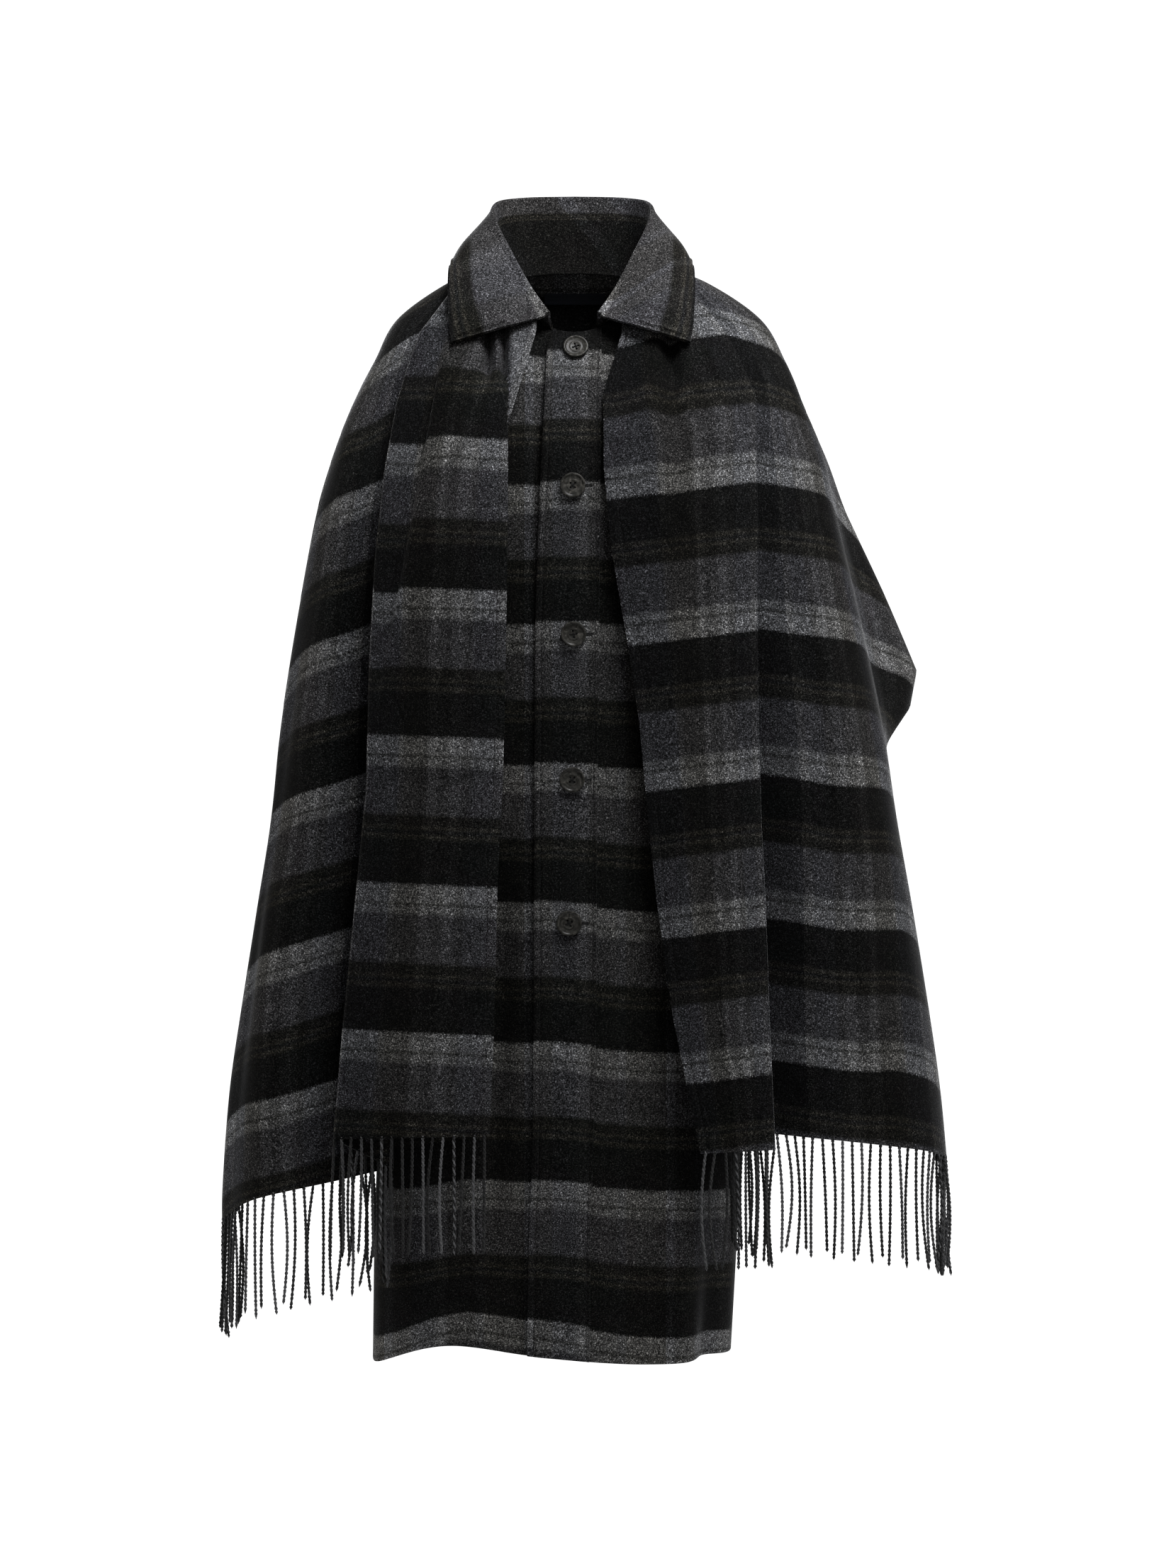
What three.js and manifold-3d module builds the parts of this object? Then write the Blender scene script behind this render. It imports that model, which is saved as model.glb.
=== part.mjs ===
// A knee-length wool coat with a wide fringed scarf of the same cloth, worn by nobody.
// Millimetres, +Z up. The front faces -Y and the wearer's left hand is on the +X side.
// The origin lies between the shoulders at the base of the neck, where a wearer carries it.
import * as THREE from "three";
import Module from "manifold-3d";
import { mergeVertices } from "three/addons/utils/BufferGeometryUtils.js";

const wasm = await Module();
wasm.setup();

// Cloth and seams
const COAT_WALL = 3;
const COLLAR_WALL = 3.2;
const SCARF_WALL = 2.4;
const SEAM = 0.4;

// Coat: the body's levels from the neck seam to the hem. side, front and back are heights, wide is
// the half width, fore and aft are the depths, mid is how far the body has swung across.
const BODY = [
  { side: 16, front: -47, back: 27, wide: 76, fore: 74, aft: 60, mid: 0 },
  { side: -1, front: -91, back: 0, wide: 118, fore: 97, aft: 84, mid: 0 },
  { side: -33, front: -138, back: -50, wide: 166, fore: 118, aft: 106, mid: 0 },
  { side: -73, front: -165, back: -98, wide: 173, fore: 126, aft: 117, mid: 0 },
  { side: -136, front: -195, back: -148, wide: 176, fore: 130, aft: 122, mid: 0 },
  { side: -204, front: -236, back: -212, wide: 178, fore: 132, aft: 124, mid: 0 },
  { side: -330, front: -336, back: -330, wide: 174, fore: 131, aft: 118, mid: 0 },
  { side: -480, front: -480, back: -480, wide: 172, fore: 130, aft: 118, mid: -1 },
  { side: -680, front: -680, back: -680, wide: 177, fore: 131, aft: 126, mid: -5 },
  { side: -880, front: -880, back: -880, wide: 181, fore: 131, aft: 130, mid: -16 },
  { side: -1061, front: -1061, back: -1061, wide: 178, fore: 130, aft: 130, mid: -23 },
];
const BODY_SQUARE = 0.9;
const HEM_LEVEL = BODY.length - 1;

// Armhole: an oval in levels and degrees round the side of the body.
const ARMHOLE = { level: 3.5, half: 1.45, front: 34, back: 32, inside: 0.94 };

// Degrees that a panel stops short of the side seam.
const PANEL_GAP = 0.12;

// Front opening: height, the lapping edge, and the stitched inner side of the placket.
const OPENING = [
  { z: -42, edge: -21, inner: 27 },
  { z: -69, edge: -27, inner: 27 },
  { z: -190, edge: -32, inner: 25 },
  { z: -320, edge: -37, inner: 24 },
  { z: -500, edge: -38, inner: 22 },
  { z: -720, edge: -39, inner: 21 },
  { z: -840, edge: -40, inner: 18 },
  { z: -955, edge: -44, inner: 15 },
  { z: -1070, edge: -46, inner: 14 },
];
const UNDER_LAP = 2;
const LAP_CLEARANCE = 0.2;
const LAP_RISE = COAT_WALL + SEAM + LAP_CLEARANCE;
const LAP_FADE = 34;
const PLACKET_WALL = 2.4;

// Folds of the coat's skirt: angle round the body, where it starts, its depth at the hem, its width.
const SKIRT_FOLDS = [
  { angle: 42, from: -760, depth: 13, width: 9 },
  { angle: 60, from: -820, depth: -10, width: 9 },
  { angle: -34, from: -880, depth: -9, width: 14 },
  { angle: -68, from: -900, depth: 6, width: 10 },
  { angle: 112, from: -700, depth: 8, width: 12 },
  { angle: 140, from: -760, depth: -8, width: 12 },
  { angle: 172, from: -640, depth: 9, width: 12 },
  { angle: -158, from: -700, depth: -8, width: 12 },
  { angle: -128, from: -800, depth: 9, width: 12 },
];
const FOLD_LENGTH = 320;
const HEM_WAVES = [
  { angle: -78, width: 24, drop: 14 },
  { angle: -30, width: 22, drop: -9 },
  { angle: 30, width: 28, drop: 9 },
  { angle: 80, width: 22, drop: 4 },
  { angle: 150, width: 34, drop: 6 },
];
const WAVE_REACH = { from: -950, over: 110 };

// Sleeves: the outer and inner line of the hanging arm, the half depth and how far forward it is.
const SLEEVE = [
  { outX: 187, outZ: -68, inX: 191, inZ: -201, half: 64, y: -4 },
  { outX: 207, outZ: -107, inX: 192, inZ: -222, half: 65, y: -5 },
  { outX: 226, outZ: -157, inX: 192, inZ: -250, half: 63, y: -7 },
  { outX: 243, outZ: -214, inX: 192, inZ: -285, half: 61, y: -9 },
  { outX: 260, outZ: -305, inX: 192, inZ: -340, half: 59, y: -12 },
  { outX: 272, outZ: -384, inX: 193, inZ: -402, half: 57, y: -15 },
  { outX: 280, outZ: -452, inX: 194, inZ: -458, half: 55, y: -18 },
  { outX: 286, outZ: -532, inX: 197, inZ: -532, half: 52, y: -21 },
  { outX: 290, outZ: -616, inX: 200, inZ: -616, half: 50, y: -24 },
];

// Collar: stations from the middle of the back to the front end. angle finds the neck seam; roll is
// the fold line, belly the middle of the leaf and edge its free edge.
const COLLAR = [
  { angle: 180, roll: [0, 68, 103], belly: [0, 96, 62], edge: [0, 109, 22] },
  { angle: 142, roll: [52, 60, 101], belly: [73, 84, 62], edge: [83, 97, 23] },
  { angle: 106, roll: [78, 25, 92], belly: [104, 37, 57], edge: [118, 46, 26] },
  { angle: 79, roll: [77, -15, 70], belly: [110, -18, 46], edge: [122, -19, 27] },
  { angle: 52, roll: [60, -45, 33], belly: [104, -58, 21], edge: [123, -63, -1] },
  { angle: 31, roll: [43, -69, 0], belly: [87, -89, -12], edge: [121, -91, -37] },
  { angle: 15, roll: [25, -87, -27], belly: [65, -103, -39], edge: [118, -102, -55] },
];

// The collar lies a little wider on the wearer's right.
const COLLAR_WIDTH = { right: 1.03, left: 0.98 };
const COLLAR_STAND = { bulge: 0.55, full: 30, inside: 5, outside: 5, top: 2.5 };
const COLLAR_STEPS = [0, 0.17, 0.33, 0.42, 0.5, 0.58, 0.66, 0.78, 0.89, 1];

// The collar's seam: just inside the neck edge, and lifted a little towards the front.
const COLLAR_SEAM = { inside: 0.965, lift: 2.5 };

// Scarf: the levels of the shape that it lies on, over the shoulders and arms. left and right are
// its half widths on the two sides.
const DRAPE = [
  { side: 24, front: -48, back: 38, left: 87, right: 87, fore: 81, aft: 70, square: 0.92 },
  { side: 11, front: -92, back: 12, left: 124, right: 130, fore: 103, aft: 93, square: 0.9 },
  { side: -26, front: -140, back: -38, left: 176, right: 185, fore: 127, aft: 116, square: 0.88 },
  { side: -68, front: -171, back: -88, left: 199, right: 210, fore: 135, aft: 127, square: 0.86 },
  { side: -115, front: -199, back: -132, left: 223, right: 230, fore: 139, aft: 132, square: 0.82 },
  { side: -165, front: -229, back: -178, left: 242, right: 249, fore: 141, aft: 134, square: 0.79 },
  { side: -221, front: -265, back: -230, left: 258, right: 261, fore: 142, aft: 135, square: 0.77 },
  { side: -307, front: -324, back: -310, left: 274, right: 281, fore: 142, aft: 135, square: 0.77 },
  { side: -386, front: -389, back: -386, left: 287, right: 298, fore: 142, aft: 135, square: 0.77 },
  { side: -453, front: -453, back: -453, left: 296, right: 311, fore: 142, aft: 135, square: 0.77 },
  { side: -533, front: -533, back: -533, left: 302, right: 323, fore: 142, aft: 134, square: 0.77 },
  { side: -624, front: -624, back: -624, left: 318, right: 339, fore: 143, aft: 132, square: 0.78 },
  { side: -723, front: -723, back: -723, left: 334, right: 355, fore: 144, aft: 130, square: 0.79 },
  { side: -808, front: -808, back: -808, left: 346, right: 367, fore: 145, aft: 128, square: 0.8 },
  { side: -908, front: -908, back: -908, left: 353, right: 376, fore: 146, aft: 126, square: 0.8 },
  { side: -955, front: -955, back: -955, left: 352, right: 381, fore: 146, aft: 126, square: 0.8 },
];

// Pleat of the hanging ends: the layers' heights above the shape below, and the turns' radius.
const LAYER = { low: 2.2, middle: 5.8, top: 9.4, turn: 1.8 };

// Lines down the scarf's two hanging ends: height, inner edge, fold, and how far the fold laps.
const END_RIGHT = [
  { z: -10, inner: 42, fold: 122, lap: 10 },
  { z: -49, inner: 44, fold: 150, lap: 14 },
  { z: -118, inner: 56, fold: 171, lap: 20 },
  { z: -188, inner: 64, fold: 183, lap: 26 },
  { z: -272, inner: 65, fold: 192, lap: 30 },
  { z: -376, inner: 67, fold: 198, lap: 34 },
  { z: -496, inner: 70, fold: 201, lap: 38 },
  { z: -589, inner: 75, fold: 210, lap: 42 },
  { z: -740, inner: 79, fold: 225, lap: 48 },
  { z: -846, inner: 83, fold: 234, lap: 54 },
];
const END_LEFT = [
  { z: -10, inner: 46, fold: 118, lap: 8 },
  { z: -49, inner: 48, fold: 148, lap: 10 },
  { z: -111, inner: 29, fold: 175, lap: 10 },
  { z: -183, inner: 29, fold: 176, lap: 12 },
  { z: -265, inner: 37, fold: 177, lap: 14 },
  { z: -353, inner: 52, fold: 177, lap: 16 },
  { z: -434, inner: 64, fold: 178, lap: 18 },
  { z: -532, inner: 73, fold: 181, lap: 22 },
  { z: -609, inner: 81, fold: 185, lap: 26 },
  { z: -724, inner: 97, fold: 189, lap: 32 },
  { z: -859, inner: 124, fold: 195, lap: 38 },
];
const SIDES = {
  right: {
    sign: -1, width: "left", lines: END_RIGHT,
    hem: { inner: -842, fold: -846, under: -877, side: -934, end: -930 },
    join: -600, endAngle: 106, strands: 52,
  },
  left: {
    sign: 1, width: "right", lines: END_LEFT,
    hem: { inner: -859, fold: -856, under: -838, side: -872, end: -876 },
    join: -470, endAngle: 104, strands: 48,
  },
};
const JOIN_ANGLE = 118;
const JOIN_GAP = 0.7;
const BACK_DROP = -505;
const JOIN_FADE = 320;

// Shares of the way down at which the ends and the back have a row of points.
const END_ROWS = [
  0, 0.035, 0.07, 0.11, 0.16, 0.22, 0.28, 0.35, 0.42, 0.49, 0.53, 0.58, 0.65, 0.72, 0.79, 0.86, 0.93, 1,
];
const BACK_ROWS = [0, 0.05, 0.11, 0.19, 0.28, 0.38, 0.49, 0.61, 0.74, 0.87, 1];

// Ripples of the scarf: side, angle, depth, width, and the heights between which it shows.
const RIPPLES = [
  { sign: -1, angle: 20, depth: 4, width: 9, top: -60, low: -470 },
  { sign: -1, angle: 60, depth: 5, width: 8, top: -260, low: -940 },
  { sign: -1, angle: 76, depth: -4, width: 7, top: -300, low: -940 },
  { sign: 1, angle: 47, depth: -5, width: 6, top: -200, low: -860 },
  { sign: 1, angle: 66, depth: 4, width: 8, top: -420, low: -900 },
  { sign: -1, angle: 150, depth: 8, width: 13, top: -120, low: -620 },
  { sign: 1, angle: 158, depth: 8, width: 12, top: -140, low: -620 },
  { sign: 1, angle: 178, depth: -5, width: 10, top: -120, low: -620 },
];

// The back of the scarf swings out over the left elbow: height and how far.
const ELBOW = [
  { z: -120, out: 0 },
  { z: -222, out: 20 },
  { z: -306, out: 42 },
  { z: -390, out: 62 },
  { z: -424, out: 46 },
  { z: -452, out: 12 },
  { z: -464, out: 0 },
];
const ELBOW_SPREAD = { from: 86, full: 106, until: 150 };

// Fringe
const FRINGE = { strip: 3, into: 1, length: 116, radius: 1.9, gap: 0.35, sides: 3, joints: 1 };

// Buttons: four-hole, rimmed, 25 mm across.
const BUTTON = { radius: 12.6, rim: 4, dish: 2.7, hole: 1.1, pitch: 2.5, clear: 0.35 };
const BUTTONS = [
  { x: 1.4, z: -64 },
  { x: -1.4, z: -200 },
  { x: -0.7, z: -346 },
  { x: -2, z: -490 },
  { x: -5, z: -632 },
];

const LABEL = { half: 28, top: 0.72, low: 1.1, wall: 0.8, inside: 1.6 };

const radians = THREE.MathUtils.degToRad;
const smooth = (x) => THREE.MathUtils.smoothstep(x, 0, 1);

// A table's column at a fractional row, through a Catmull-Rom curve.
function column(table, key, row) {
  const last = table.length - 1;
  const at = Math.min(Math.max(row, 0), last);
  const i = Math.min(Math.floor(at), last - 1);
  const t = at - i;
  const value = (k) => table[Math.min(Math.max(k, 0), last)][key];
  const [a, b, c, d] = [value(i - 1), value(i), value(i + 1), value(i + 2)];
  const bend = (2 * a - 5 * b + 4 * c - d) * t * t + (3 * b - a - 3 * c + d) * t * t * t;
  return b + 0.5 * ((c - a) * t + bend);
}

// A table's column at a height, by straight lines. Heights fall from row to row.
function atHeight(table, key, z) {
  let i = 0;
  while (i < table.length - 2 && z < table[i + 1].z) i += 1;
  const [a, b] = [table[i], table[i + 1]];
  const t = THREE.MathUtils.clamp((z - a.z) / (b.z - a.z), 0, 1);
  return a[key] + (b[key] - a[key]) * t;
}

// The fractional row whose side height is z.
function levelAt(table, z) {
  let [high, low] = [0, table.length - 1];
  for (let i = 0; i < 30; i += 1) {
    const middle = (high + low) / 2;
    if (column(table, "side", middle) > z) high = middle;
    else low = middle;
  }
  return (high + low) / 2;
}

// A point of a ring. The angle is in degrees from the front, towards +X.
function ringPoint(ring, angle, square) {
  const s = Math.sin(radians(angle));
  const c = Math.cos(radians(angle));
  const depth = c > 0 ? ring.fore : ring.aft;
  const rise = (c > 0 ? ring.front : ring.back) - ring.side;
  return new THREE.Vector3(
    ring.mid + ring.wide * Math.sign(s) * Math.abs(s) ** square,
    -depth * Math.sign(c) * Math.abs(c) ** square,
    ring.side + rise * c * c,
  );
}

const angleGap = (a, b) => Math.abs(((a - b + 540) % 360) - 180);
const bump = (gap, width) => Math.exp(-((gap / width) ** 2));

// Outward direction of a surface given as a function of level and angle.
function outward(surface, level, angle) {
  const dl = 0.02;
  const da = 0.5;
  const down = surface(level + dl, angle).sub(surface(level - dl, angle));
  const round = surface(level, angle + da).sub(surface(level, angle - da));
  return round.cross(down).negate().normalize();
}

// Coat body

function bodyBase(level, angle) {
  const ring = {};
  for (const key of ["side", "front", "back", "wide", "fore", "aft", "mid"]) {
    ring[key] = column(BODY, key, level);
  }
  return ringPoint(ring, angle, BODY_SQUARE);
}

function bodyPoint(level, angle, out = 0) {
  const p = bodyBase(level, angle);
  let rise = out;
  for (const fold of SKIRT_FOLDS) {
    const grow = smooth((fold.from - p.z) / FOLD_LENGTH);
    rise += fold.depth * grow * bump(angleGap(angle, fold.angle), fold.width);
  }
  for (const wave of HEM_WAVES) {
    const near = smooth((WAVE_REACH.from - p.z) / WAVE_REACH.over);
    p.z -= wave.drop * near * bump(angleGap(angle, wave.angle), wave.width);
  }
  return p.addScaledVector(outward(bodyBase, level, angle), rise);
}

// The angle at which the body's front is at x, at a level.
function frontAngle(level, x) {
  const wide = column(BODY, "wide", level);
  const ratio = THREE.MathUtils.clamp((x - column(BODY, "mid", level)) / wide, -0.99, 0.99);
  return Math.sign(ratio) * THREE.MathUtils.radToDeg(Math.asin(Math.abs(ratio) ** (1 / BODY_SQUARE)));
}

function openingAngle(level, key) {
  return frontAngle(level, atHeight(OPENING, key, column(BODY, "front", level)));
}

function armholeAngle(level, reach) {
  const q = (level - ARMHOLE.level) / ARMHOLE.half;
  return Math.abs(q) < 1 ? reach * Math.sqrt(1 - q * q) : 0;
}

// Levels used down a panel: closer together round the armhole.
function panelLevels(lower) {
  const top = ARMHOLE.level - ARMHOLE.half;
  const low = ARMHOLE.level + ARMHOLE.half;
  const levels = [0, 0.5, 1, 1.5, top];
  for (let i = 1; i < 8; i += 1) {
    levels.push(ARMHOLE.level - ARMHOLE.half * Math.cos((Math.PI * i) / 8));
  }
  levels.push(low);
  for (let i = 1; i <= lower; i += 1) {
    levels.push(low + ((HEM_LEVEL - low) * i) / lower);
  }
  return levels;
}

// Closed walls

// A closed wall from a grid of points, thick on its outward side, in rows of equal length.
function wall(rows, thickness, looped = false, centred = true) {
  const count = rows[0].length;
  const at = (r, c) => {
    const row = rows[Math.min(Math.max(r, 0), rows.length - 1)];
    return looped ? row[(c + count) % count] : row[Math.min(Math.max(c, 0), count - 1)];
  };
  const points = [];
  for (const side of [1, 0]) {
    const shift = (centred ? side - 0.5 : side) * thickness;
    rows.forEach((row, r) => row.forEach((p, c) => {
      const down = at(r + 1, c).clone().sub(at(r - 1, c));
      const across = at(r, c + 1).clone().sub(at(r, c - 1));
      const normal = across.cross(down).normalize();
      points.push(p.clone().addScaledVector(normal, shift));
    }));
  }
  const inner = rows.length * count;
  const index = (side, r, c) => side * inner + r * count + (looped ? c % count : c);
  const faces = [];
  const quad = (a, b, c, d) => faces.push(a, b, c, a, c, d);
  const spans = looped ? count : count - 1;
  for (let r = 0; r < rows.length - 1; r += 1) {
    for (let c = 0; c < spans; c += 1) {
      quad(index(0, r, c), index(0, r + 1, c), index(0, r + 1, c + 1), index(0, r, c + 1));
      quad(index(1, r, c), index(1, r, c + 1), index(1, r + 1, c + 1), index(1, r + 1, c));
    }
  }
  const last = rows.length - 1;
  for (let c = 0; c < spans; c += 1) {
    quad(index(0, 0, c), index(0, 0, c + 1), index(1, 0, c + 1), index(1, 0, c));
    quad(index(0, last, c), index(1, last, c), index(1, last, c + 1), index(0, last, c + 1));
  }
  for (let r = 0; r < last && !looped; r += 1) {
    quad(index(0, r, 0), index(1, r, 0), index(1, r + 1, 0), index(0, r + 1, 0));
    const end = count - 1;
    quad(index(0, r, end), index(0, r + 1, end), index(1, r + 1, end), index(1, r, end));
  }
  return outwardFaces(points, faces);
}

// A geometry whose faces point out, whichever way round they were listed.
function outwardFaces(points, faces) {
  let volume = 0;
  for (let i = 0; i < faces.length; i += 3) {
    const [a, b, c] = [points[faces[i]], points[faces[i + 1]], points[faces[i + 2]]];
    volume += a.dot(b.clone().cross(c));
  }
  const order = volume < 0 ? faces.toReversed() : faces;
  const geometry = new THREE.BufferGeometry();
  geometry.setAttribute("position", new THREE.Float32BufferAttribute(points.flatMap((p) => [...p]), 3));
  geometry.setIndex(order);
  geometry.computeVertexNormals();
  return geometry;
}

function solidOf(geometry) {
  const bare = geometry.clone();
  for (const name of Object.keys(bare.attributes)) {
    if (name !== "position") bare.deleteAttribute(name);
  }
  const merged = mergeVertices(bare, 1e-4);
  return new wasm.Manifold(new wasm.Mesh({
    numProp: 3,
    vertProperties: new Float32Array(merged.attributes.position.array),
    triVerts: new Uint32Array(merged.index.array),
  }));
}

function geometryOf(solid) {
  const mesh = solid.getMesh();
  const geometry = new THREE.BufferGeometry();
  geometry.setAttribute("position", new THREE.BufferAttribute(new Float32Array(mesh.vertProperties), 3));
  geometry.setIndex(new THREE.BufferAttribute(new Uint32Array(mesh.triVerts), 1));
  geometry.computeVertexNormals();
  return geometry;
}

const span = (from, to, count) =>
  Array.from({ length: count + 1 }, (_, i) => from + ((to - from) * i) / count);

// Coat pieces

function coatBack() {
  const rows = panelLevels(9).map((level) => {
    const side = 90 + armholeAngle(level, ARMHOLE.back) + PANEL_GAP;
    return span(side, 360 - side, 20).map((angle) => bodyPoint(level, angle, COAT_WALL / 2));
  });
  return wall(rows, COAT_WALL);
}

// The right front runs under the left one, the left one rises over it towards its edge.
function coatFront(sign) {
  const rows = panelLevels(9).map((level) => {
    const side = 90 - armholeAngle(level, ARMHOLE.front) - PANEL_GAP;
    const reach = sign > 0
      ? openingAngle(level, "edge")
      : frontAngle(level, UNDER_LAP + column(BODY, "mid", level));
    const end = sign > 0 ? reach : -reach;
    return span(side, end, 11).map((angle) => {
      const base = bodyPoint(level, angle * sign);
      const inner = atHeight(OPENING, "inner", base.z);
      const rise = sign > 0 ? LAP_RISE * smooth((inner + LAP_FADE - base.x) / LAP_FADE) : 0;
      return bodyPoint(level, angle * sign, COAT_WALL / 2 + rise);
    });
  });
  return wall(rows, COAT_WALL);
}

const placketOut = COAT_WALL + LAP_RISE + SEAM;

function placketGeometry() {
  const rows = panelLevels(9).map((level) => {
    const edge = openingAngle(level, "edge");
    const inner = openingAngle(level, "inner");
    return span(edge, inner, 3).map((angle) => bodyPoint(level, angle, placketOut + PLACKET_WALL / 2));
  });
  return wall(rows, PLACKET_WALL);
}

function sleeveGeometry(sign) {
  const rings = [];
  const turns = span(0, 360, 18).slice(0, -1);
  rings.push(turns.map((turn) => {
    const level = ARMHOLE.level - ARMHOLE.half * ARMHOLE.inside * Math.cos(radians(turn));
    const reach = turn < 180 ? -ARMHOLE.front : ARMHOLE.back;
    const angle = 90 + reach * ARMHOLE.inside * Math.abs(Math.sin(radians(turn)));
    return bodyPoint(level, angle, COAT_WALL / 2);
  }));
  for (const level of span(0, SLEEVE.length - 1, 9)) {
    const value = (key) => column(SLEEVE, key, level);
    const out = new THREE.Vector3(value("outX"), value("y"), value("outZ"));
    const inner = new THREE.Vector3(value("inX"), value("y"), value("inZ"));
    const centre = out.clone().add(inner).multiplyScalar(0.5);
    const reach = out.clone().sub(centre);
    rings.push(turns.map((turn) => {
      const p = centre.clone().addScaledVector(reach, Math.cos(radians(turn)));
      p.y -= value("half") * Math.sin(radians(turn));
      return p;
    }));
  }
  const placed = rings.map((ring) => ring.map((p) => new THREE.Vector3(p.x * sign, p.y, p.z)));
  return wall(placed, COAT_WALL, true);
}

// Across the collar: from the neck seam up to the roll, over it and down to the edge.
function collarProfile(row, sign) {
  const value = (key) => new THREE.Vector3(...[0, 1, 2].map((axis) => {
    const table = COLLAR.map((station) => ({ v: station[key][axis] }));
    return column(table, "v", row);
  }));
  const widen = sign < 0 ? COLLAR_WIDTH.right : COLLAR_WIDTH.left;
  const angle = column(COLLAR, "angle", row);
  const neck = bodyPoint(0, angle);
  neck.x *= COLLAR_SEAM.inside;
  neck.y *= COLLAR_SEAM.inside;
  neck.z += (COLLAR_SEAM.lift * row) / (COLLAR.length - 1);
  const [roll, belly, edge] = [value("roll"), value("belly"), value("edge")];
  for (const point of [roll, belly, edge]) point.x *= widen;
  const tight = Math.min(1, roll.distanceTo(neck) / COLLAR_STAND.full);
  const stand = neck.clone().lerp(roll, COLLAR_STAND.bulge);
  const inside = roll.clone().add(neck.clone().sub(roll).setLength(COLLAR_STAND.inside * tight + 1));
  const outside = roll.clone().add(belly.clone().sub(roll).setLength(COLLAR_STAND.outside));
  const top = roll.clone();
  top.z += COLLAR_STAND.top;
  const curve = new THREE.CatmullRomCurve3([neck, stand, inside, top, outside, belly, edge]);
  return COLLAR_STEPS.map((t) => {
    const p = curve.getPoint(t);
    return new THREE.Vector3(p.x * sign, p.y, p.z);
  });
}

function collarGeometry() {
  const last = COLLAR.length - 1;
  const half = span(0, last, 13);
  const rows = [];
  for (const row of half.toReversed()) rows.push(collarProfile(row, -1));
  for (const row of half.slice(1)) rows.push(collarProfile(row, 1));
  return wall(rows, COLLAR_WALL);
}

function labelGeometry() {
  const rows = span(LABEL.top, LABEL.low, 1).map((level) => {
    const aft = column(BODY, "wide", level);
    const half = THREE.MathUtils.radToDeg(Math.asin(LABEL.half / aft));
    return span(180 - half, 180 + half, 4).map((angle) =>
      bodyPoint(level, angle, -LABEL.inside));
  });
  return wall(rows, LABEL.wall);
}

function buttonMesh({ x, z }, name) {
  const { radius, rim, dish, hole, pitch } = BUTTON;
  const profile = [
    [0, 0], [radius - 2, 0], [radius, 1.4], [radius, rim - 0.9], [radius - 1.6, rim],
    [radius - 3.8, dish], [0, dish],
  ].map(([r, h]) => new THREE.Vector2(r, h));
  let solid = solidOf(new THREE.LatheGeometry(profile, 18));
  for (const [dx, dz] of [[-1, -1], [-1, 1], [1, -1], [1, 1]]) {
    const drill = new THREE.CylinderGeometry(hole, hole, 12, 5);
    drill.translate((dx * pitch) / 2, 2, (dz * pitch) / 2);
    solid = solid.subtract(solidOf(drill));
  }
  const level = levelAt(BODY.map((row) => ({ side: row.front })), z);
  const angle = frontAngle(level, x);
  const normal = outward(bodyBase, level, angle);
  const mesh = new THREE.Mesh(geometryOf(solid), material("button"));
  mesh.quaternion.setFromUnitVectors(new THREE.Vector3(0, 1, 0), normal);
  mesh.position.copy(bodyPoint(level, angle, placketOut + PLACKET_WALL + BUTTON.clear));
  mesh.name = name;
  return mesh;
}

// Scarf

function drapeBase(level, angle) {
  const side = Math.sin(radians(angle)) < 0 ? "left" : "right";
  const ring = { mid: 0, wide: column(DRAPE, side, level) };
  for (const key of ["side", "front", "back", "fore", "aft"]) ring[key] = column(DRAPE, key, level);
  return ringPoint(ring, angle, column(DRAPE, "square", level));
}

// How far ripples and the swing over the elbow lift the scarf at a signed angle.
function drapeLift(p, angle) {
  let lift = 0;
  for (const r of RIPPLES) {
    const shown = smooth((r.top - p.z) / 160) * smooth((p.z - r.low) / 30 + 1);
    lift += r.depth * shown * bump(angleGap(angle, r.sign * r.angle), r.width);
  }
  const { from, full, until } = ELBOW_SPREAD;
  const round = (angle + 360) % 360;
  const spread = smooth((round - from) / (full - from)) * smooth((until - round) / (until - full));
  return lift + atHeight(ELBOW, "out", p.z) * spread;
}

function drapePoint(level, angle, out, along = 0) {
  const p = drapeBase(level, angle);
  const normal = outward(drapeBase, level, angle);
  const round = drapeBase(level, angle + 0.5).sub(drapeBase(level, angle - 0.5)).normalize();
  return p.addScaledVector(normal, out + drapeLift(p, angle)).addScaledVector(round, along);
}

// The unsigned angle at which a line down one end, given as x against height, crosses a level.
function lineAngle(side, level, key) {
  const wide = column(DRAPE, side.width, level);
  const square = column(DRAPE, "square", level);
  const [high, front] = [column(DRAPE, "side", level), column(DRAPE, "front", level)];
  let angle = 40;
  for (let i = 0; i < 12; i += 1) {
    const c = Math.cos(radians(angle));
    const x = atHeight(side.lines, key, high + (front - high) * c * c);
    const next = THREE.MathUtils.radToDeg(Math.asin(Math.min(0.97, x / wide) ** (1 / square)));
    angle = (angle + next) / 2;
  }
  return angle;
}

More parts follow.
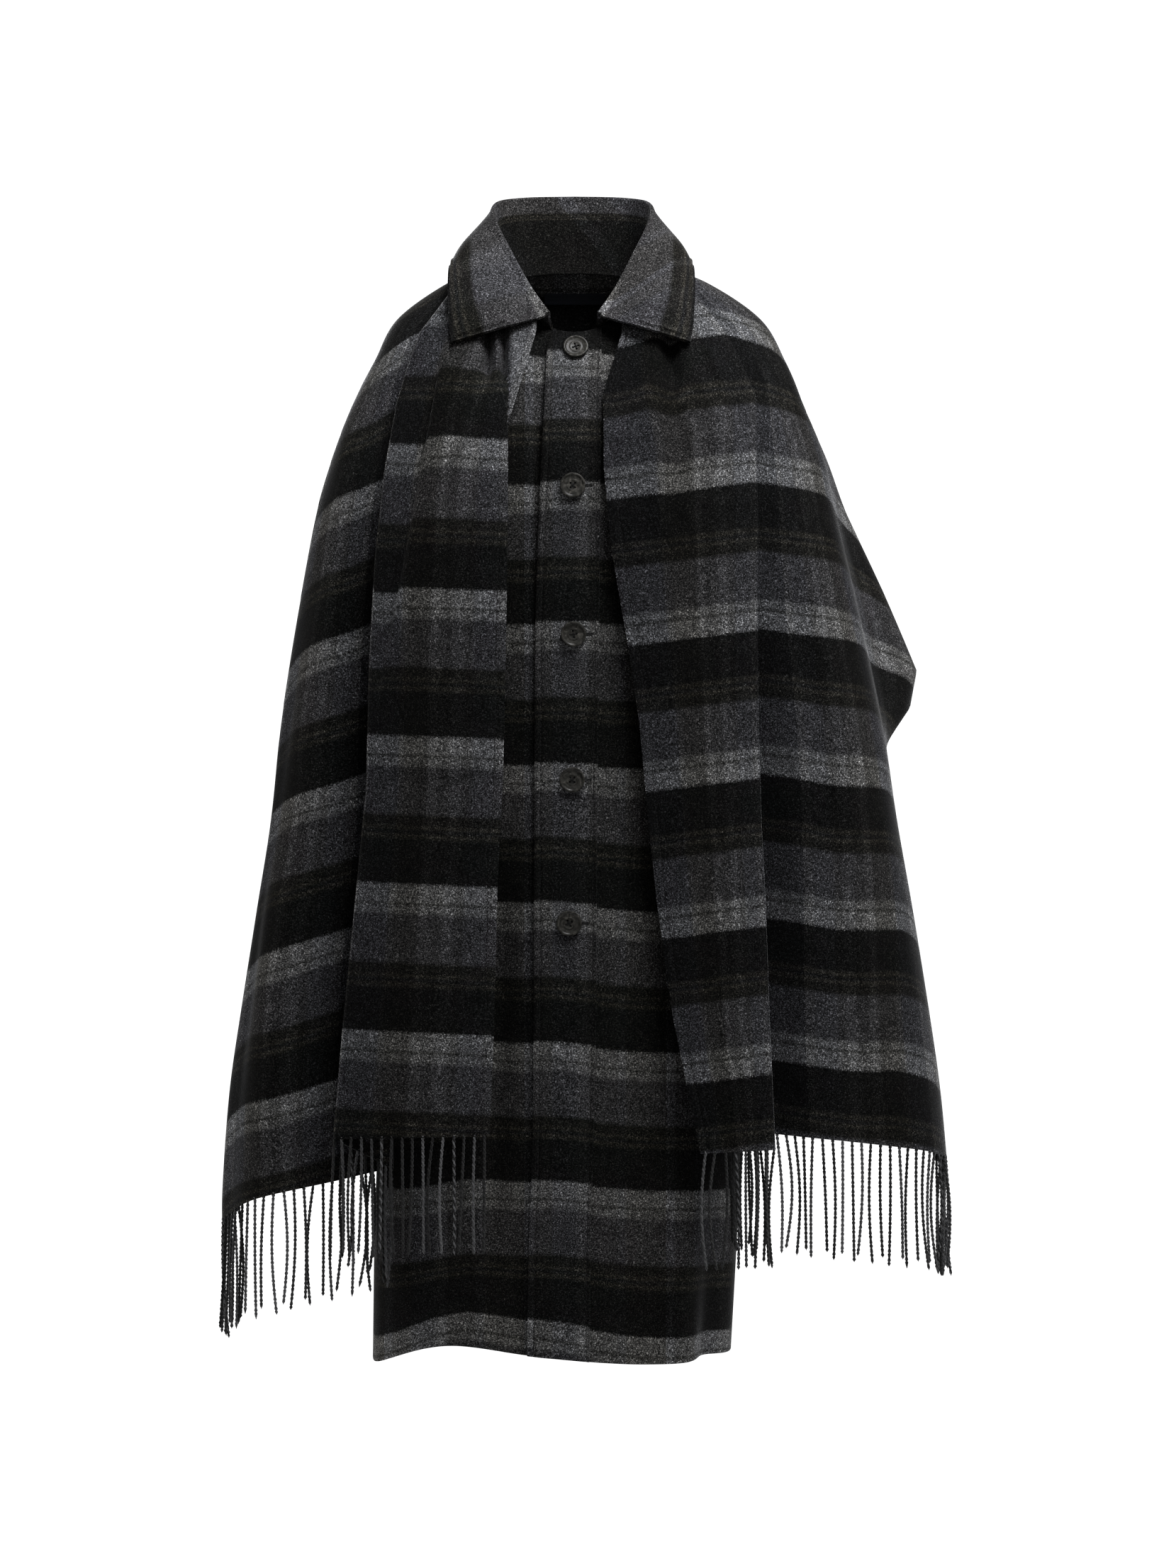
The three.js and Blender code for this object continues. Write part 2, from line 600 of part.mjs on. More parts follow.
// One section across a hanging end, from its inner edge over the pleat to its wrapped edge.
// Each step gives the angle, the layer's height, a shift along the surface and the hem's height.
function endSection(side, level) {
  const inner = lineAngle(side, level, "inner");
  const fold = lineAngle(side, level, "fold");
  const foldZ = drapeBase(level, side.sign * fold).z;
  const wide = column(DRAPE, side.width, level);
  const lap = THREE.MathUtils.radToDeg(atHeight(side.lines, "lap", foldZ) / wide);
  const under = fold - lap;
  const low = smooth((side.join - column(DRAPE, "side", level)) / JOIN_FADE);
  const end = JOIN_ANGLE + (side.endAngle - JOIN_ANGLE) * low;
  const { low: bottom, middle, top, turn } = LAYER;
  const { hem } = side;
  const steps = [];
  for (const t of span(0, 1, 6)) {
    steps.push([inner + (fold - inner) * t, top, 0, hem.inner + (hem.fold - hem.inner) * t]);
  }
  for (const a of [45, 90, 135]) {
    const height = (top + middle) / 2 + turn * Math.cos(radians(a));
    steps.push([fold, height, turn * Math.sin(radians(a)), hem.fold]);
  }
  for (const t of span(0, 1, 2)) {
    steps.push([fold - lap * t, middle, 0, hem.fold + (hem.under - hem.fold) * t]);
  }
  for (const a of [45, 90, 135]) {
    const height = (middle + bottom) / 2 + turn * Math.cos(radians(a));
    steps.push([under, height, -turn * Math.sin(radians(a)), hem.under]);
  }
  for (const t of span(0, 1, 11)) {
    const angle = under + (end - under) * t;
    const drop = angle < 88
      ? hem.under + ((hem.side - hem.under) * (angle - under)) / (88 - under)
      : hem.side + ((hem.end - hem.side) * (angle - 88)) / (end - 88);
    steps.push([angle, bottom, 0, drop]);
  }
  return steps;
}

// Points across a hanging end at a share of the way down from the neck to the hem.
function endRow(side, share, extra = 0) {
  const bottomLevel = levelAt(DRAPE, side.hem.fold);
  const guide = endSection(side, bottomLevel * share);
  const hems = endSection(side, bottomLevel).map((step) => levelAt(DRAPE, step[3] - extra));
  return guide.map(([, height, shift], i) => {
    const level = hems[i] * share;
    const angle = endSection(side, level)[i][0];
    return drapePoint(level, angle * side.sign, height, shift * side.sign);
  });
}

function scarfEnd(side) {
  return wall(END_ROWS.map((share) => endRow(side, share)), SCARF_WALL);
}

// The stretch behind the neck and over the back, down to its lower selvedge.
function scarfBack() {
  const columns = span(JOIN_ANGLE + JOIN_GAP, 360 - JOIN_ANGLE - JOIN_GAP, 18);
  const lower = columns.map((angle) => {
    const away = Math.abs(180 - angle) / (180 - JOIN_ANGLE);
    const side = angle < 180 ? SIDES.left : SIDES.right;
    return levelAt(DRAPE, BACK_DROP + (side.join - BACK_DROP) * smooth(away));
  });
  const rows = BACK_ROWS.map((share) =>
    columns.map((angle, i) => drapePoint(lower[i] * share, angle, LAYER.low)));
  return wall(rows, SCARF_WALL);
}

// A strand hanging from a point: a few joints, each a little further down and aside.
function strandGeometry(root, lean, length) {
  const rings = span(0, 1, FRINGE.joints).map((t) => {
    const centre = root.clone();
    centre.x += lean.x * t * t;
    centre.y += lean.y * t * t;
    centre.z -= length * t;
    return span(0, 360, FRINGE.sides).slice(0, -1).map((turn) => {
      const a = radians(turn + 90);
      return centre.clone().add(new THREE.Vector3(Math.cos(a), Math.sin(a), 0).multiplyScalar(FRINGE.radius));
    });
  });
  const points = rings.flat();
  const n = FRINGE.sides;
  const faces = [];
  for (let r = 0; r < rings.length - 1; r += 1) {
    for (let c = 0; c < n; c += 1) {
      const [a, b] = [r * n + c, r * n + ((c + 1) % n)];
      faces.push(a, b, b + n, a, b + n, a + n);
    }
  }
  const bottom = (rings.length - 1) * n;
  for (let c = 1; c < n - 1; c += 1) {
    faces.push(0, c + 1, c, bottom, bottom + c, bottom + c + 1);
  }
  return outwardFaces(points, faces);
}

// Fringe of one end: a narrow strip under the hem with the strands fused to it.
function fringeGeometry(side) {
  const hem = endRow(side, 1);
  const strip = [FRINGE.gap, FRINGE.gap + FRINGE.strip].map((drop) =>
    hem.map((p) => new THREE.Vector3(p.x, p.y, p.z - drop)));
  let solid = solidOf(wall(strip, SCARF_WALL));
  const lengths = [0];
  for (let i = 1; i < hem.length; i += 1) lengths.push(lengths[i - 1] + hem[i].distanceTo(hem[i - 1]));
  const total = lengths[lengths.length - 1];
  for (let k = 0; k < side.strands; k += 1) {
    const want = ((k + 0.5) / side.strands) * total;
    let i = 1;
    while (lengths[i] < want) i += 1;
    const t = (want - lengths[i - 1]) / (lengths[i] - lengths[i - 1]);
    const root = hem[i - 1].clone().lerp(hem[i], t);
    root.z -= FRINGE.gap + FRINGE.into;
    const lean = { x: 3 * Math.sin(k * 2.4) + side.sign, y: -1 - Math.sin(k * 1.7) };
    const length = FRINGE.length + 4 * Math.sin(k * 3.1);
    solid = solid.add(solidOf(strandGeometry(root, lean, length)));
  }
  return geometryOf(solid);
}

const COLOURS = {
  coat: { color: 0x4b4c50, roughness: 0.95 },
  scarf: { color: 0x55565a, roughness: 0.95 },
  fringe: { color: 0x5a5a5c, roughness: 0.95 },
  label: { color: 0x23262b, roughness: 0.8 },
  button: { color: 0x4d4b47, roughness: 0.35 },
};

function material(kind) {
  return new THREE.MeshStandardMaterial({ ...COLOURS[kind], metalness: 0, side: THREE.FrontSide });
}

function piece(name, geometry, kind) {
  const mesh = new THREE.Mesh(geometry, material(kind));
  mesh.name = name;
  return mesh;
}

const group = new THREE.Group();
group.add(
  piece("back", coatBack(), "coat"),
  piece("front_right", coatFront(-1), "coat"),
  piece("front_left", coatFront(1), "coat"),
  piece("placket", placketGeometry(), "coat"),
  piece("sleeve_right", sleeveGeometry(-1), "coat"),
  piece("sleeve_left", sleeveGeometry(1), "coat"),
  piece("collar", collarGeometry(), "coat"),
  piece("neck_label", labelGeometry(), "label"),
  piece("scarf_end_right", scarfEnd(SIDES.right), "scarf"),
  piece("scarf_end_left", scarfEnd(SIDES.left), "scarf"),
  piece("scarf_back", scarfBack(), "scarf"),
  piece("fringe_right", fringeGeometry(SIDES.right), "fringe"),
  piece("fringe_left", fringeGeometry(SIDES.left), "fringe"),
);
BUTTONS.forEach((place, i) => group.add(buttonMesh(place, `button_${i + 1}`)));

export default group;
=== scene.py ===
import bmesh
import bpy
import numpy as np
from mathutils import Matrix, Vector


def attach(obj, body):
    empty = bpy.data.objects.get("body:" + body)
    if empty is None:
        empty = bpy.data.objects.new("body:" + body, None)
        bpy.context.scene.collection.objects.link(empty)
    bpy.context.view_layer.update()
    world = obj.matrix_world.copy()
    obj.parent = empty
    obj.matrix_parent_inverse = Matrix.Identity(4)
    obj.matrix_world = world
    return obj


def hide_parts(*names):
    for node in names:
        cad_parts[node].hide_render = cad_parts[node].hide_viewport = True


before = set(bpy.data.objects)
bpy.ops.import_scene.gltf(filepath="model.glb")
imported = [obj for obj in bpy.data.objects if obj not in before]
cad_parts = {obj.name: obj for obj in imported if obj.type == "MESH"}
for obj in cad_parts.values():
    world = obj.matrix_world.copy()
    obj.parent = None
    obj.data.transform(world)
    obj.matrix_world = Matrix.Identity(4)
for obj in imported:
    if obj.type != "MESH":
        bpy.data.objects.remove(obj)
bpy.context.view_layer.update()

MM = 0.001

# Cloth and seams
COAT_WALL = 3.0
COLLAR_WALL = 3.2
SCARF_WALL = 2.4
PLACKET_WALL = 2.4
LABEL_WALL = 0.8
SEAM = 0.4


def table(names, *rows):
    """Columns by name. Each row is one level, ring, station or line."""
    return {name: np.array([row[i] for row in rows], float) for i, name in enumerate(names.split())}


# Coat body from the neck seam to the hem
BODY = table(
    "side front back wide fore aft mid",
    (16, -47, 27, 76, 74, 60, 0),
    (-1, -91, 0, 118, 97, 84, 0),
    (-33, -138, -50, 166, 118, 106, 0),
    (-73, -165, -98, 173, 126, 117, 0),
    (-136, -195, -148, 176, 130, 122, 0),
    (-204, -236, -212, 178, 132, 124, 0),
    (-330, -336, -330, 174, 131, 118, 0),
    (-480, -480, -480, 172, 130, 118, -1),
    (-680, -680, -680, 177, 131, 126, -5),
    (-880, -880, -880, 181, 131, 130, -16),
    (-1061, -1061, -1061, 178, 130, 130, -23),
)
BODY_SQUARE = 0.9
HEM_LEVEL = len(BODY["side"]) - 1
ARMHOLE = dict(level=3.5, half=1.45, front=34, back=32, inside=0.94)
OPENING = table(
    "z edge inner",
    (-42, -21, 27),
    (-69, -27, 27),
    (-190, -32, 25),
    (-320, -37, 24),
    (-500, -38, 22),
    (-720, -39, 21),
    (-840, -40, 18),
    (-955, -44, 15),
    (-1070, -46, 14),
)
UNDER_LAP = 2
LAP_RISE = COAT_WALL + SEAM + 0.2
LAP_FADE = 34
SKIRT_FOLDS = table(
    "angle start depth width",
    (42, -760, 13, 9),
    (60, -820, -10, 9),
    (-34, -880, -9, 14),
    (-68, -900, 6, 10),
    (112, -700, 8, 12),
    (140, -760, -8, 12),
    (172, -640, 9, 12),
    (-158, -700, -8, 12),
    (-128, -800, 9, 12),
)
HEM_WAVES = table(
    "angle width drop",
    (-78, 24, 14),
    (-30, 22, -9),
    (30, 28, 9),
    (80, 22, 4),
    (150, 34, 6),
)

# Sleeves
SLEEVE = table(
    "outX outZ inX inZ half y",
    (187, -68, 191, -201, 64, -4),
    (207, -107, 192, -222, 65, -5),
    (226, -157, 192, -250, 63, -7),
    (243, -214, 192, -285, 61, -9),
    (260, -305, 192, -340, 59, -12),
    (272, -384, 193, -402, 57, -15),
    (280, -452, 194, -458, 55, -18),
    (286, -532, 197, -532, 52, -21),
    (290, -616, 200, -616, 50, -24),
)

# Collar, from the middle of the back to the front end
COLLAR = table(
    "angle rollX rollY rollZ bellyX bellyY bellyZ edgeX edgeY edgeZ",
    (180, 0, 68, 103, 0, 96, 62, 0, 109, 22),
    (142, 52, 60, 101, 73, 84, 62, 83, 97, 23),
    (106, 78, 25, 92, 104, 37, 57, 118, 46, 26),
    (79, 77, -15, 70, 110, -18, 46, 122, -19, 27),
    (52, 60, -45, 33, 104, -58, 21, 123, -63, -1),
    (31, 43, -69, 0, 87, -89, -12, 121, -91, -37),
    (15, 25, -87, -27, 65, -103, -39, 118, -102, -55),
)
COLLAR_SEAM = dict(inside=0.965, lift=2.5)
COLLAR_WIDTH = dict(right=1.03, left=0.98)

# The shape that the scarf lies on, over the shoulders and arms
DRAPE = table(
    "side front back left right fore aft square",
    (24, -48, 38, 87, 87, 81, 70, 0.92),
    (11, -92, 12, 124, 130, 103, 93, 0.9),
    (-26, -140, -38, 176, 185, 127, 116, 0.88),
    (-68, -171, -88, 199, 210, 135, 127, 0.86),
    (-115, -199, -132, 223, 230, 139, 132, 0.82),
    (-165, -229, -178, 242, 249, 141, 134, 0.79),
    (-221, -265, -230, 258, 261, 142, 135, 0.77),
    (-307, -324, -310, 274, 281, 142, 135, 0.77),
    (-386, -389, -386, 287, 298, 142, 135, 0.77),
    (-453, -453, -453, 296, 311, 142, 135, 0.77),
    (-533, -533, -533, 302, 323, 142, 134, 0.77),
    (-624, -624, -624, 318, 339, 143, 132, 0.78),
    (-723, -723, -723, 334, 355, 144, 130, 0.79),
    (-808, -808, -808, 346, 367, 145, 128, 0.8),
    (-908, -908, -908, 353, 376, 146, 126, 0.8),
    (-955, -955, -955, 352, 381, 146, 126, 0.8),
)
LAYER = dict(low=2.2, middle=5.8, top=9.4, turn=1.8)
END_RIGHT = table(
    "z inner fold lap",
    (-10, 37, 122, 10),
    (-49, 38, 150, 14),
    (-118, 57.5, 171, 20),
    (-141, 64, 175, 22),
    (-188, 64, 183, 26),
    (-272, 65, 192, 30),
    (-376, 67, 198, 34),
    (-496, 70, 201, 38),
    (-589, 75, 210, 42),
    (-740, 79, 225, 48),
    (-846, 83, 234, 54),
)
END_LEFT = table(
    "z inner fold lap",
    (-10, 46, 118, 8),
    (-49, 48, 148, 10),
    (-111, 29, 175, 10),
    (-183, 29, 176, 12),
    (-265, 37, 177, 14),
    (-353, 52, 177, 16),
    (-434, 64, 178, 18),
    (-532, 73, 181, 22),
    (-609, 81, 185, 26),
    (-724, 97, 189, 32),
    (-859, 124, 195, 38),
)
RIGHT = dict(
    sign=-1, width="left", lines=END_RIGHT, join=-600, end_angle=106, strands=52,
    hem=dict(inner=-842, fold=-846, under=-877, side=-934, end=-930),
)
LEFT = dict(
    sign=1, width="right", lines=END_LEFT, join=-470, end_angle=104, strands=48,
    hem=dict(inner=-859, fold=-856, under=-838, side=-872, end=-876),
)
JOIN_ANGLE = 118
JOIN_GAP = 0.7
BACK_DROP = -505
RIPPLES = table(
    "angle depth width top low",
    (-20, 4, 9, -60, -470),
    (-60, 5, 8, -260, -940),
    (-76, -4, 7, -300, -940),
    (47, -5, 6, -200, -860),
    (66, 4, 8, -420, -900),
    (-150, 8, 13, -120, -620),
    (158, 8, 12, -140, -620),
    (178, -5, 10, -120, -620),
)
ELBOW = table(
    "z out",
    (-120, 0),
    (-222, 20),
    (-306, 42),
    (-390, 62),
    (-424, 46),
    (-452, 12),
    (-464, 0),
)
ELBOW_SPREAD = dict(start=86, full=106, until=150)

# Creases that show from the front, as lines down the cloth: x at the two heights, depth and width
SCARF_CREASES = table(
    "top x_top low x_low depth width",
    (-14, -84, -110, -86, -18, 5.5),
    (-14, -70, -112, -70, -15, 4),
    (-40, -96, -330, -112, 2.2, 8),
    (-50, -112, -420, -128, -1.8, 8),
    (-160, -84, -760, -96, 1.2, 10),
    (-300, -142, -840, -150, 1.6, 12),
    (-420, -292, -900, -312, 6, 18),
    (-90, -214, -420, -262, 5, 13),
    (-10, 95, -120, 97, -14, 8.5),
    (-70, 74, -260, 82, 3.5, 9),
    (-70, 104, -230, 108, -5, 9),
    (-50, 110, -260, 112, 3, 9),
    (-50, 139, -190, 140, 3.5, 8),
    (-80, 125, -420, 124, -2, 8),
    (-260, 92, -800, 118, 1.6, 12),
    (-420, 150, -850, 166, 1.4, 12),
    (-300, 262, -860, 296, 4, 18),
)
COAT_CREASES = table(
    "top x_top low x_low depth width",
    (-40, -31, -330, -41, -3.5, 3.5),
    (-300, -41, -1100, -49, -2.5, 3.5),
    (-120, 48, -700, 46, 1.2, 12),
    (-300, -56, -900, -60, -1.2, 12),
    (-700, 70, -1060, 66, 2.0, 14),
    (-520, -74, -1100, -82, -11, 18),
)

# Fringe, buttons and the label inside the neck
FRINGE = dict(length=116, cord=1.0, helix=0.85, lay=9.0, into=2.0, pull=6.0)
BUTTON = dict(radius=12.6, rim=4.0, dish=2.7, hole=1.1, pitch=2.5, clear=0.35)
BUTTONS = table(
    "x z turn",
    (1.4, -64, 20),
    (-1.4, -200, 45),
    (-0.7, -346, 10),
    (-2, -490, 45),
    (-5, -632, 30),
)
LABEL = dict(half=27, top=0.74, low=1.04, inside=1.6)

# The check: one repeat down the cloth, as shares of it
COAT_REPEAT = 140.0
SCARF_REPEAT = 146.0
STRIPES = (
    # name, start, end, tone
    ("light", 0.0, 0.1, 1.0),
    ("dip", 0.111, 0.121, 0.5),
    ("light_again", 0.132, 0.172, 0.92),
    ("grey", 0.2, 0.5, 0.37),
    ("dark", 0.528, 0.58, 0.105),
    ("brown", 0.597, 0.608, 0.19),
    ("between", 0.622, 0.636, 0.1),
    ("brown_again", 0.652, 0.663, 0.17),
    ("black", 0.69, 0.972, 0.066),
)

# The faint stripes that run down the cloth, in millimetres across it. Each has a tone and is warm or cool.
# Some low tones also carry painted shade, as marked below.
COAT_WARP = table(
    "start end tone cool",
    (0, 7, 1.3, 0.6),
    (10, 26, 0.94, 0.3),
    (29, 49, 1.04, 0.7),
    (55, 61, 1.3, 0.5),
    # The low tones from 65 to 90 mm and from 102 to 134 mm lie on the coat beside the scarf's two ends:
    # partly the cloth's warp, partly painted shade from the ends
    (65, 90, 0.84, 0.2),
    (94, 98, 1.0, 0.4),
    (102, 134, 0.84, 0.0),
)
SCARF_WARP = table(
    "start end tone cool",
    (0, 6, 1.2, 0.6),
    (10, 26, 1.02, 0.8),
    (31, 34, 0.88, 0.4),
    (40, 45, 1.24, 0.5),
    (52, 60, 0.86, 0.3),
    (65, 69, 1.12, 0.3),
    # From 75 mm to the end of the repeat the warp is dark: partly the cloth's own dark warp band, deepened
    # as painted shade beside the fold, where the outer section starts
    (75, 98, 0.6, 0.0),
    (101, 104, 0.76, 0.2),
    (108, 136, 0.72, 0.9),
)

# Where each repeat of the check starts down the coat's front
COAT_CHECK = table(
    "z cloth",
    (72, -140),
    (-72, 0),
    (-201, 140),
    (-339, 280),
    (-479, 420),
    (-616, 560),
    (-755, 700),
    (-892, 840),
    (-1030, 980),
    (-1170, 1120),
)

# Towards the hem its stripes sink at the sides
COAT_SLANT = table(
    "x fall",
    (-170, 10),
    (-105, -3),
    (-15, 0),
    (63, 8),
    (170, 12),
)

# Inside the neck the back's own stripes lie lower than the fronts' by this much
NECK_CHECK = table(
    "z fall",
    (27, 45),
    (8, 42),
    (4, -28),
    (-20, -28),
    (-150, 0),
)


def smooth(x):
    t = np.clip(x, 0, 1)
    return t * t * (3 - 2 * t)


def column(rows, key, row):
    """A table's column at a fractional row, through a Catmull-Rom curve."""
    values = rows[key]
    last = len(values) - 1
    at = np.clip(row, 0, last)
    i = np.minimum(np.floor(at).astype(int), last - 1)
    t = at - i
    a, b, c, d = (values[np.clip(i + k, 0, last)] for k in (-1, 0, 1, 2))
    bend = (2 * a - 5 * b + 4 * c - d) * t**2 + (3 * b - a - 3 * c + d) * t**3
    return b + 0.5 * ((c - a) * t + bend)


def at_height(rows, key, z):
    """A table's column at a height, by straight lines. Heights fall from row to row."""
    return np.interp(-z, -rows["z"], rows[key])


def level_at(rows, z, key="side"):
    """The fractional row whose height is z."""
    levels = np.linspace(0, len(rows[key]) - 1, 3000)
    return np.interp(-z, -column(rows, key, levels), levels)


def ring_point(ring, angle, square):
    s, c = np.sin(np.radians(angle)), np.cos(np.radians(angle))
    front = c > 0
    depth = np.where(front, ring["fore"], ring["aft"])
    rise = np.where(front, ring["front"], ring["back"]) - ring["side"]
    x = ring["mid"] + ring["wide"] * np.sign(s) * np.abs(s) ** square
    y = -depth * np.sign(c) * np.abs(c) ** square
    return np.stack([x, y, ring["side"] + rise * c * c], -1)


def angle_gap(a, b):
    return np.abs((a - b + 540) % 360 - 180)


def bump(gap, width):
    return np.exp(-((gap / width) ** 2))


def unit(v):
    return v / np.linalg.norm(v, axis=-1, keepdims=True)


def outward(surface, level, angle):
    down = surface(level + 0.02, angle) - surface(level - 0.02, angle)
    around = surface(level, angle + 0.5) - surface(level, angle - 0.5)
    return unit(np.cross(down, around))


def crease_lift(creases, p):
    """How far the creases drawn on the front lift a point."""
    lift = np.zeros(p.shape[:-1])
    x, z = p[..., 0], p[..., 2]
    for top, x_top, low, x_low, depth, width in zip(*creases.values()):
        share = (z - top) / (low - top)
        line = x_top + (x_low - x_top) * share
        shown = smooth(share * 4) * smooth((1 - share) * 3) * smooth(-p[..., 1] / 40)
        lift += depth * shown * bump(x - line, width)
    return lift


# Coat body


def body_base(level, angle):
    ring = {key: column(BODY, key, level) for key in BODY}
    return ring_point(ring, angle, BODY_SQUARE)


def body_point(level, angle, out=0.0, creased=True):
    level, angle = np.broadcast_arrays(np.asarray(level, float), np.asarray(angle, float))
    p = body_base(level, angle)
    rise = np.zeros(level.shape) + out
    for fold, start, depth, width in zip(*SKIRT_FOLDS.values()):
        rise += depth * smooth((start - p[..., 2]) / 320) * bump(angle_gap(angle, fold), width)
    if creased:
        rise += crease_lift(COAT_CREASES, p)
    near = smooth((-950 - p[..., 2]) / 110)
    for wave, width, drop in zip(*HEM_WAVES.values()):
        p[..., 2] -= drop * near * bump(angle_gap(angle, wave), width)
    return p + outward(body_base, level, angle) * rise[..., None]


def front_angle(level, x):
    ratio = np.clip((x - column(BODY, "mid", level)) / column(BODY, "wide", level), -0.99, 0.99)
    return np.sign(ratio) * np.degrees(np.arcsin(np.abs(ratio) ** (1 / BODY_SQUARE)))


def opening_angle(level, key):
    return front_angle(level, at_height(OPENING, key, column(BODY, "front", level)))


def armhole_angle(level, reach):
    q = (level - ARMHOLE["level"]) / ARMHOLE["half"]
    return reach * np.sqrt(np.clip(1 - q * q, 0, 1))


def coat_cloth(p):
    """Down the cloth of the coat, from its place before the hem waves."""
    low = smooth((-350 - p[..., 2]) / 300)
    fall = np.interp(p[..., 0], COAT_SLANT["x"], COAT_SLANT["fall"]) * low
    return np.interp(-p[..., 2], -COAT_CHECK["z"], COAT_CHECK["cloth"]) - fall


# Scarf


def drape_base(level, angle):
    left = np.sin(np.radians(angle)) < 0
    wide = np.where(left, column(DRAPE, "left", level), column(DRAPE, "right", level))
    ring = {key: column(DRAPE, key, level) for key in ("side", "front", "back", "fore", "aft")}
    return ring_point({"mid": 0, "wide": wide, **ring}, angle, column(DRAPE, "square", level))


def drape_lift(p, angle):
    lift = crease_lift(SCARF_CREASES, p)
    z = p[..., 2]
    for ripple, depth, width, top, low in zip(*RIPPLES.values()):
        shown = smooth((top - z) / 160) * smooth((z - low) / 30 + 1)
        lift += depth * shown * bump(angle_gap(angle, ripple), width)
    start, full, until = (ELBOW_SPREAD[key] for key in ("start", "full", "until"))
    around = (angle + 360) % 360
    spread = smooth((around - start) / (full - start)) * smooth((until - around) / (until - full))
    return lift + at_height(ELBOW, "out", z) * spread


def drape_point(level, angle, out, along=0.0):
    level, angle = np.broadcast_arrays(np.asarray(level, float), np.asarray(angle, float))
    p = drape_base(level, angle)
    normal = outward(drape_base, level, angle)
    around = unit(drape_base(level, angle + 0.5) - drape_base(level, angle - 0.5))
    rise = drape_lift(p, angle) + out
    return p + normal * rise[..., None] + around * np.asarray(along)[..., None]


def line_angle(side, level, key):
    """The unsigned angle at which a line down one end crosses a level."""
    wide, square = column(DRAPE, side["width"], level), column(DRAPE, "square", level)
    high, front = column(DRAPE, "side", level), column(DRAPE, "front", level)
    angle = np.full(np.shape(level), 40.0)
    for _ in range(12):
        x = at_height(side["lines"], key, high + (front - high) * np.cos(np.radians(angle)) ** 2)
        angle = (angle + np.degrees(np.arcsin(np.minimum(0.97, x / wide) ** (1 / square)))) / 2
    return angle


# The path across a hanging end: the inner section, a fold, the stretch under it, a fold, the outer
# section. Each row says at which share of the path it stands, how much of the inner line, the fold,
# the lap and the wrapped edge its angle has, its height over the shape below and its turn.
TURN_STEPS = 8
PATH_SHARES = dict(fold=0.33, turned=0.35, under=0.43, back=0.45)

# On the right end the inner section has a second pleat, which lies a little higher inside this line
PLEAT = table(
    "z x",
    (-20, 121),
    (-45, 125),
    (-112, 134),
    (-278, 164),
    (-392, 187),
    (-443, 194),
)
PLEAT_RISE = dict(height=4.2, turn=3.0, step=6.0)


def pleat_share(side, p, across):
    """1 on the second pleat of the right end, 0 outside it."""
    if side["sign"] > 0:
        return np.zeros(p.shape[:-1]), np.zeros(p.shape[:-1])
    z = p[..., 2]
    shown = smooth((-20 - z) / 30) * smooth((z + 450) / 130) * (across <= PATH_SHARES["fold"])
    return smooth((at_height(PLEAT, "x", z) + p[..., 0]) / PLEAT_RISE["turn"] + 0.5), shown


def end_path():
    low, middle, top, turn = (LAYER[key] for key in ("low", "middle", "top", "turn"))
    share = PATH_SHARES
    rows = [(0, 1, 0, 0, 0, top, 0), (share["fold"], 0, 1, 0, 0, top, 0)]
    for i in range(1, TURN_STEPS):
        a = np.pi * i / TURN_STEPS
        at = share["fold"] + (share["turned"] - share["fold"]) * i / TURN_STEPS
        rows.append((at, 0, 1, 0, 0, (top + middle) / 2 + turn * np.cos(a), turn * np.sin(a)))
    rows += [(share["turned"], 0, 1, 0, 0, middle, 0), (share["under"], 0, 1, -1, 0, middle, 0)]
    for i in range(1, TURN_STEPS):
        a = np.pi * i / TURN_STEPS
        at = share["under"] + (share["back"] - share["under"]) * i / TURN_STEPS
        rows.append((at, 0, 1, -1, 0, (middle + low) / 2 + turn * np.cos(a), -turn * np.sin(a)))
    rows += [(share["back"], 0, 1, -1, 0, low, 0), (1, 0, 0, 0, 1, low, 0)]
    return table("share inner fold lap end height shift", *rows)


END_PATH = end_path()


def end_angle(side, level, across):
    """The unsigned angle of the path at a level."""
    share = END_PATH["share"]
    weight = {key: np.interp(across, share, END_PATH[key]) for key in ("inner", "fold", "lap", "end")}
    inner, fold = line_angle(side, level, "inner"), line_angle(side, level, "fold")
    fold_z = drape_base(level, side["sign"] * fold)[..., 2]
    lap = np.degrees(at_height(side["lines"], "lap", fold_z) / column(DRAPE, side["width"], level))
    low = smooth((side["join"] - column(DRAPE, "side", level)) / 320)
    end = JOIN_ANGLE + (side["end_angle"] - JOIN_ANGLE) * low
    return weight["inner"] * inner + weight["fold"] * fold + weight["lap"] * lap + weight["end"] * end


def end_hem(side, across):
    """The height of the hem along the path."""
    hem, share = side["hem"], PATH_SHARES
    bottom = level_at(DRAPE, hem["fold"])
    angle = end_angle(side, np.full(np.shape(across), bottom), across)
    under = end_angle(side, np.array([bottom]), np.array([share["back"]]))[0]
    end = side["end_angle"]
    flat = np.interp(
        across,
        [0, share["fold"], share["turned"], share["under"], share["back"]],
        [hem["inner"], hem["fold"], hem["fold"], hem["under"], hem["under"]],
    )
    outer = np.interp(angle, [under, 88, end], [hem["under"], hem["side"], hem["end"]])
    return np.where(across > share["back"], outer, flat)


EDGE_SEAM = dict(inside=7.0, depth=1.0, width=1.5, puff=0.5)


def end_width(side, z):
    """How wide the inner section is at a height."""
    return at_height(side["lines"], "fold", z) - at_height(side["lines"], "inner", z)


def edge_relief(side, z, across):
    """The stitched seam along the inner edge."""
    distance = across / PATH_SHARES["fold"] * end_width(side, z)
    full = EDGE_SEAM["puff"] * smooth((EDGE_SEAM["inside"] - distance) / 2) * smooth(distance / 2)
    return full - EDGE_SEAM["depth"] * bump(distance - EDGE_SEAM["inside"], EDGE_SEAM["width"])


# Beside the fold the outer section lies far back, and it comes forward again towards the arm
VALLEY = table(
    "z depth",
    (-90, 0),
    (-230, 18),
    (-420, 38),
    (-620, 52),
    (-900, 52),
)
VALLEY_WIDTH = 46


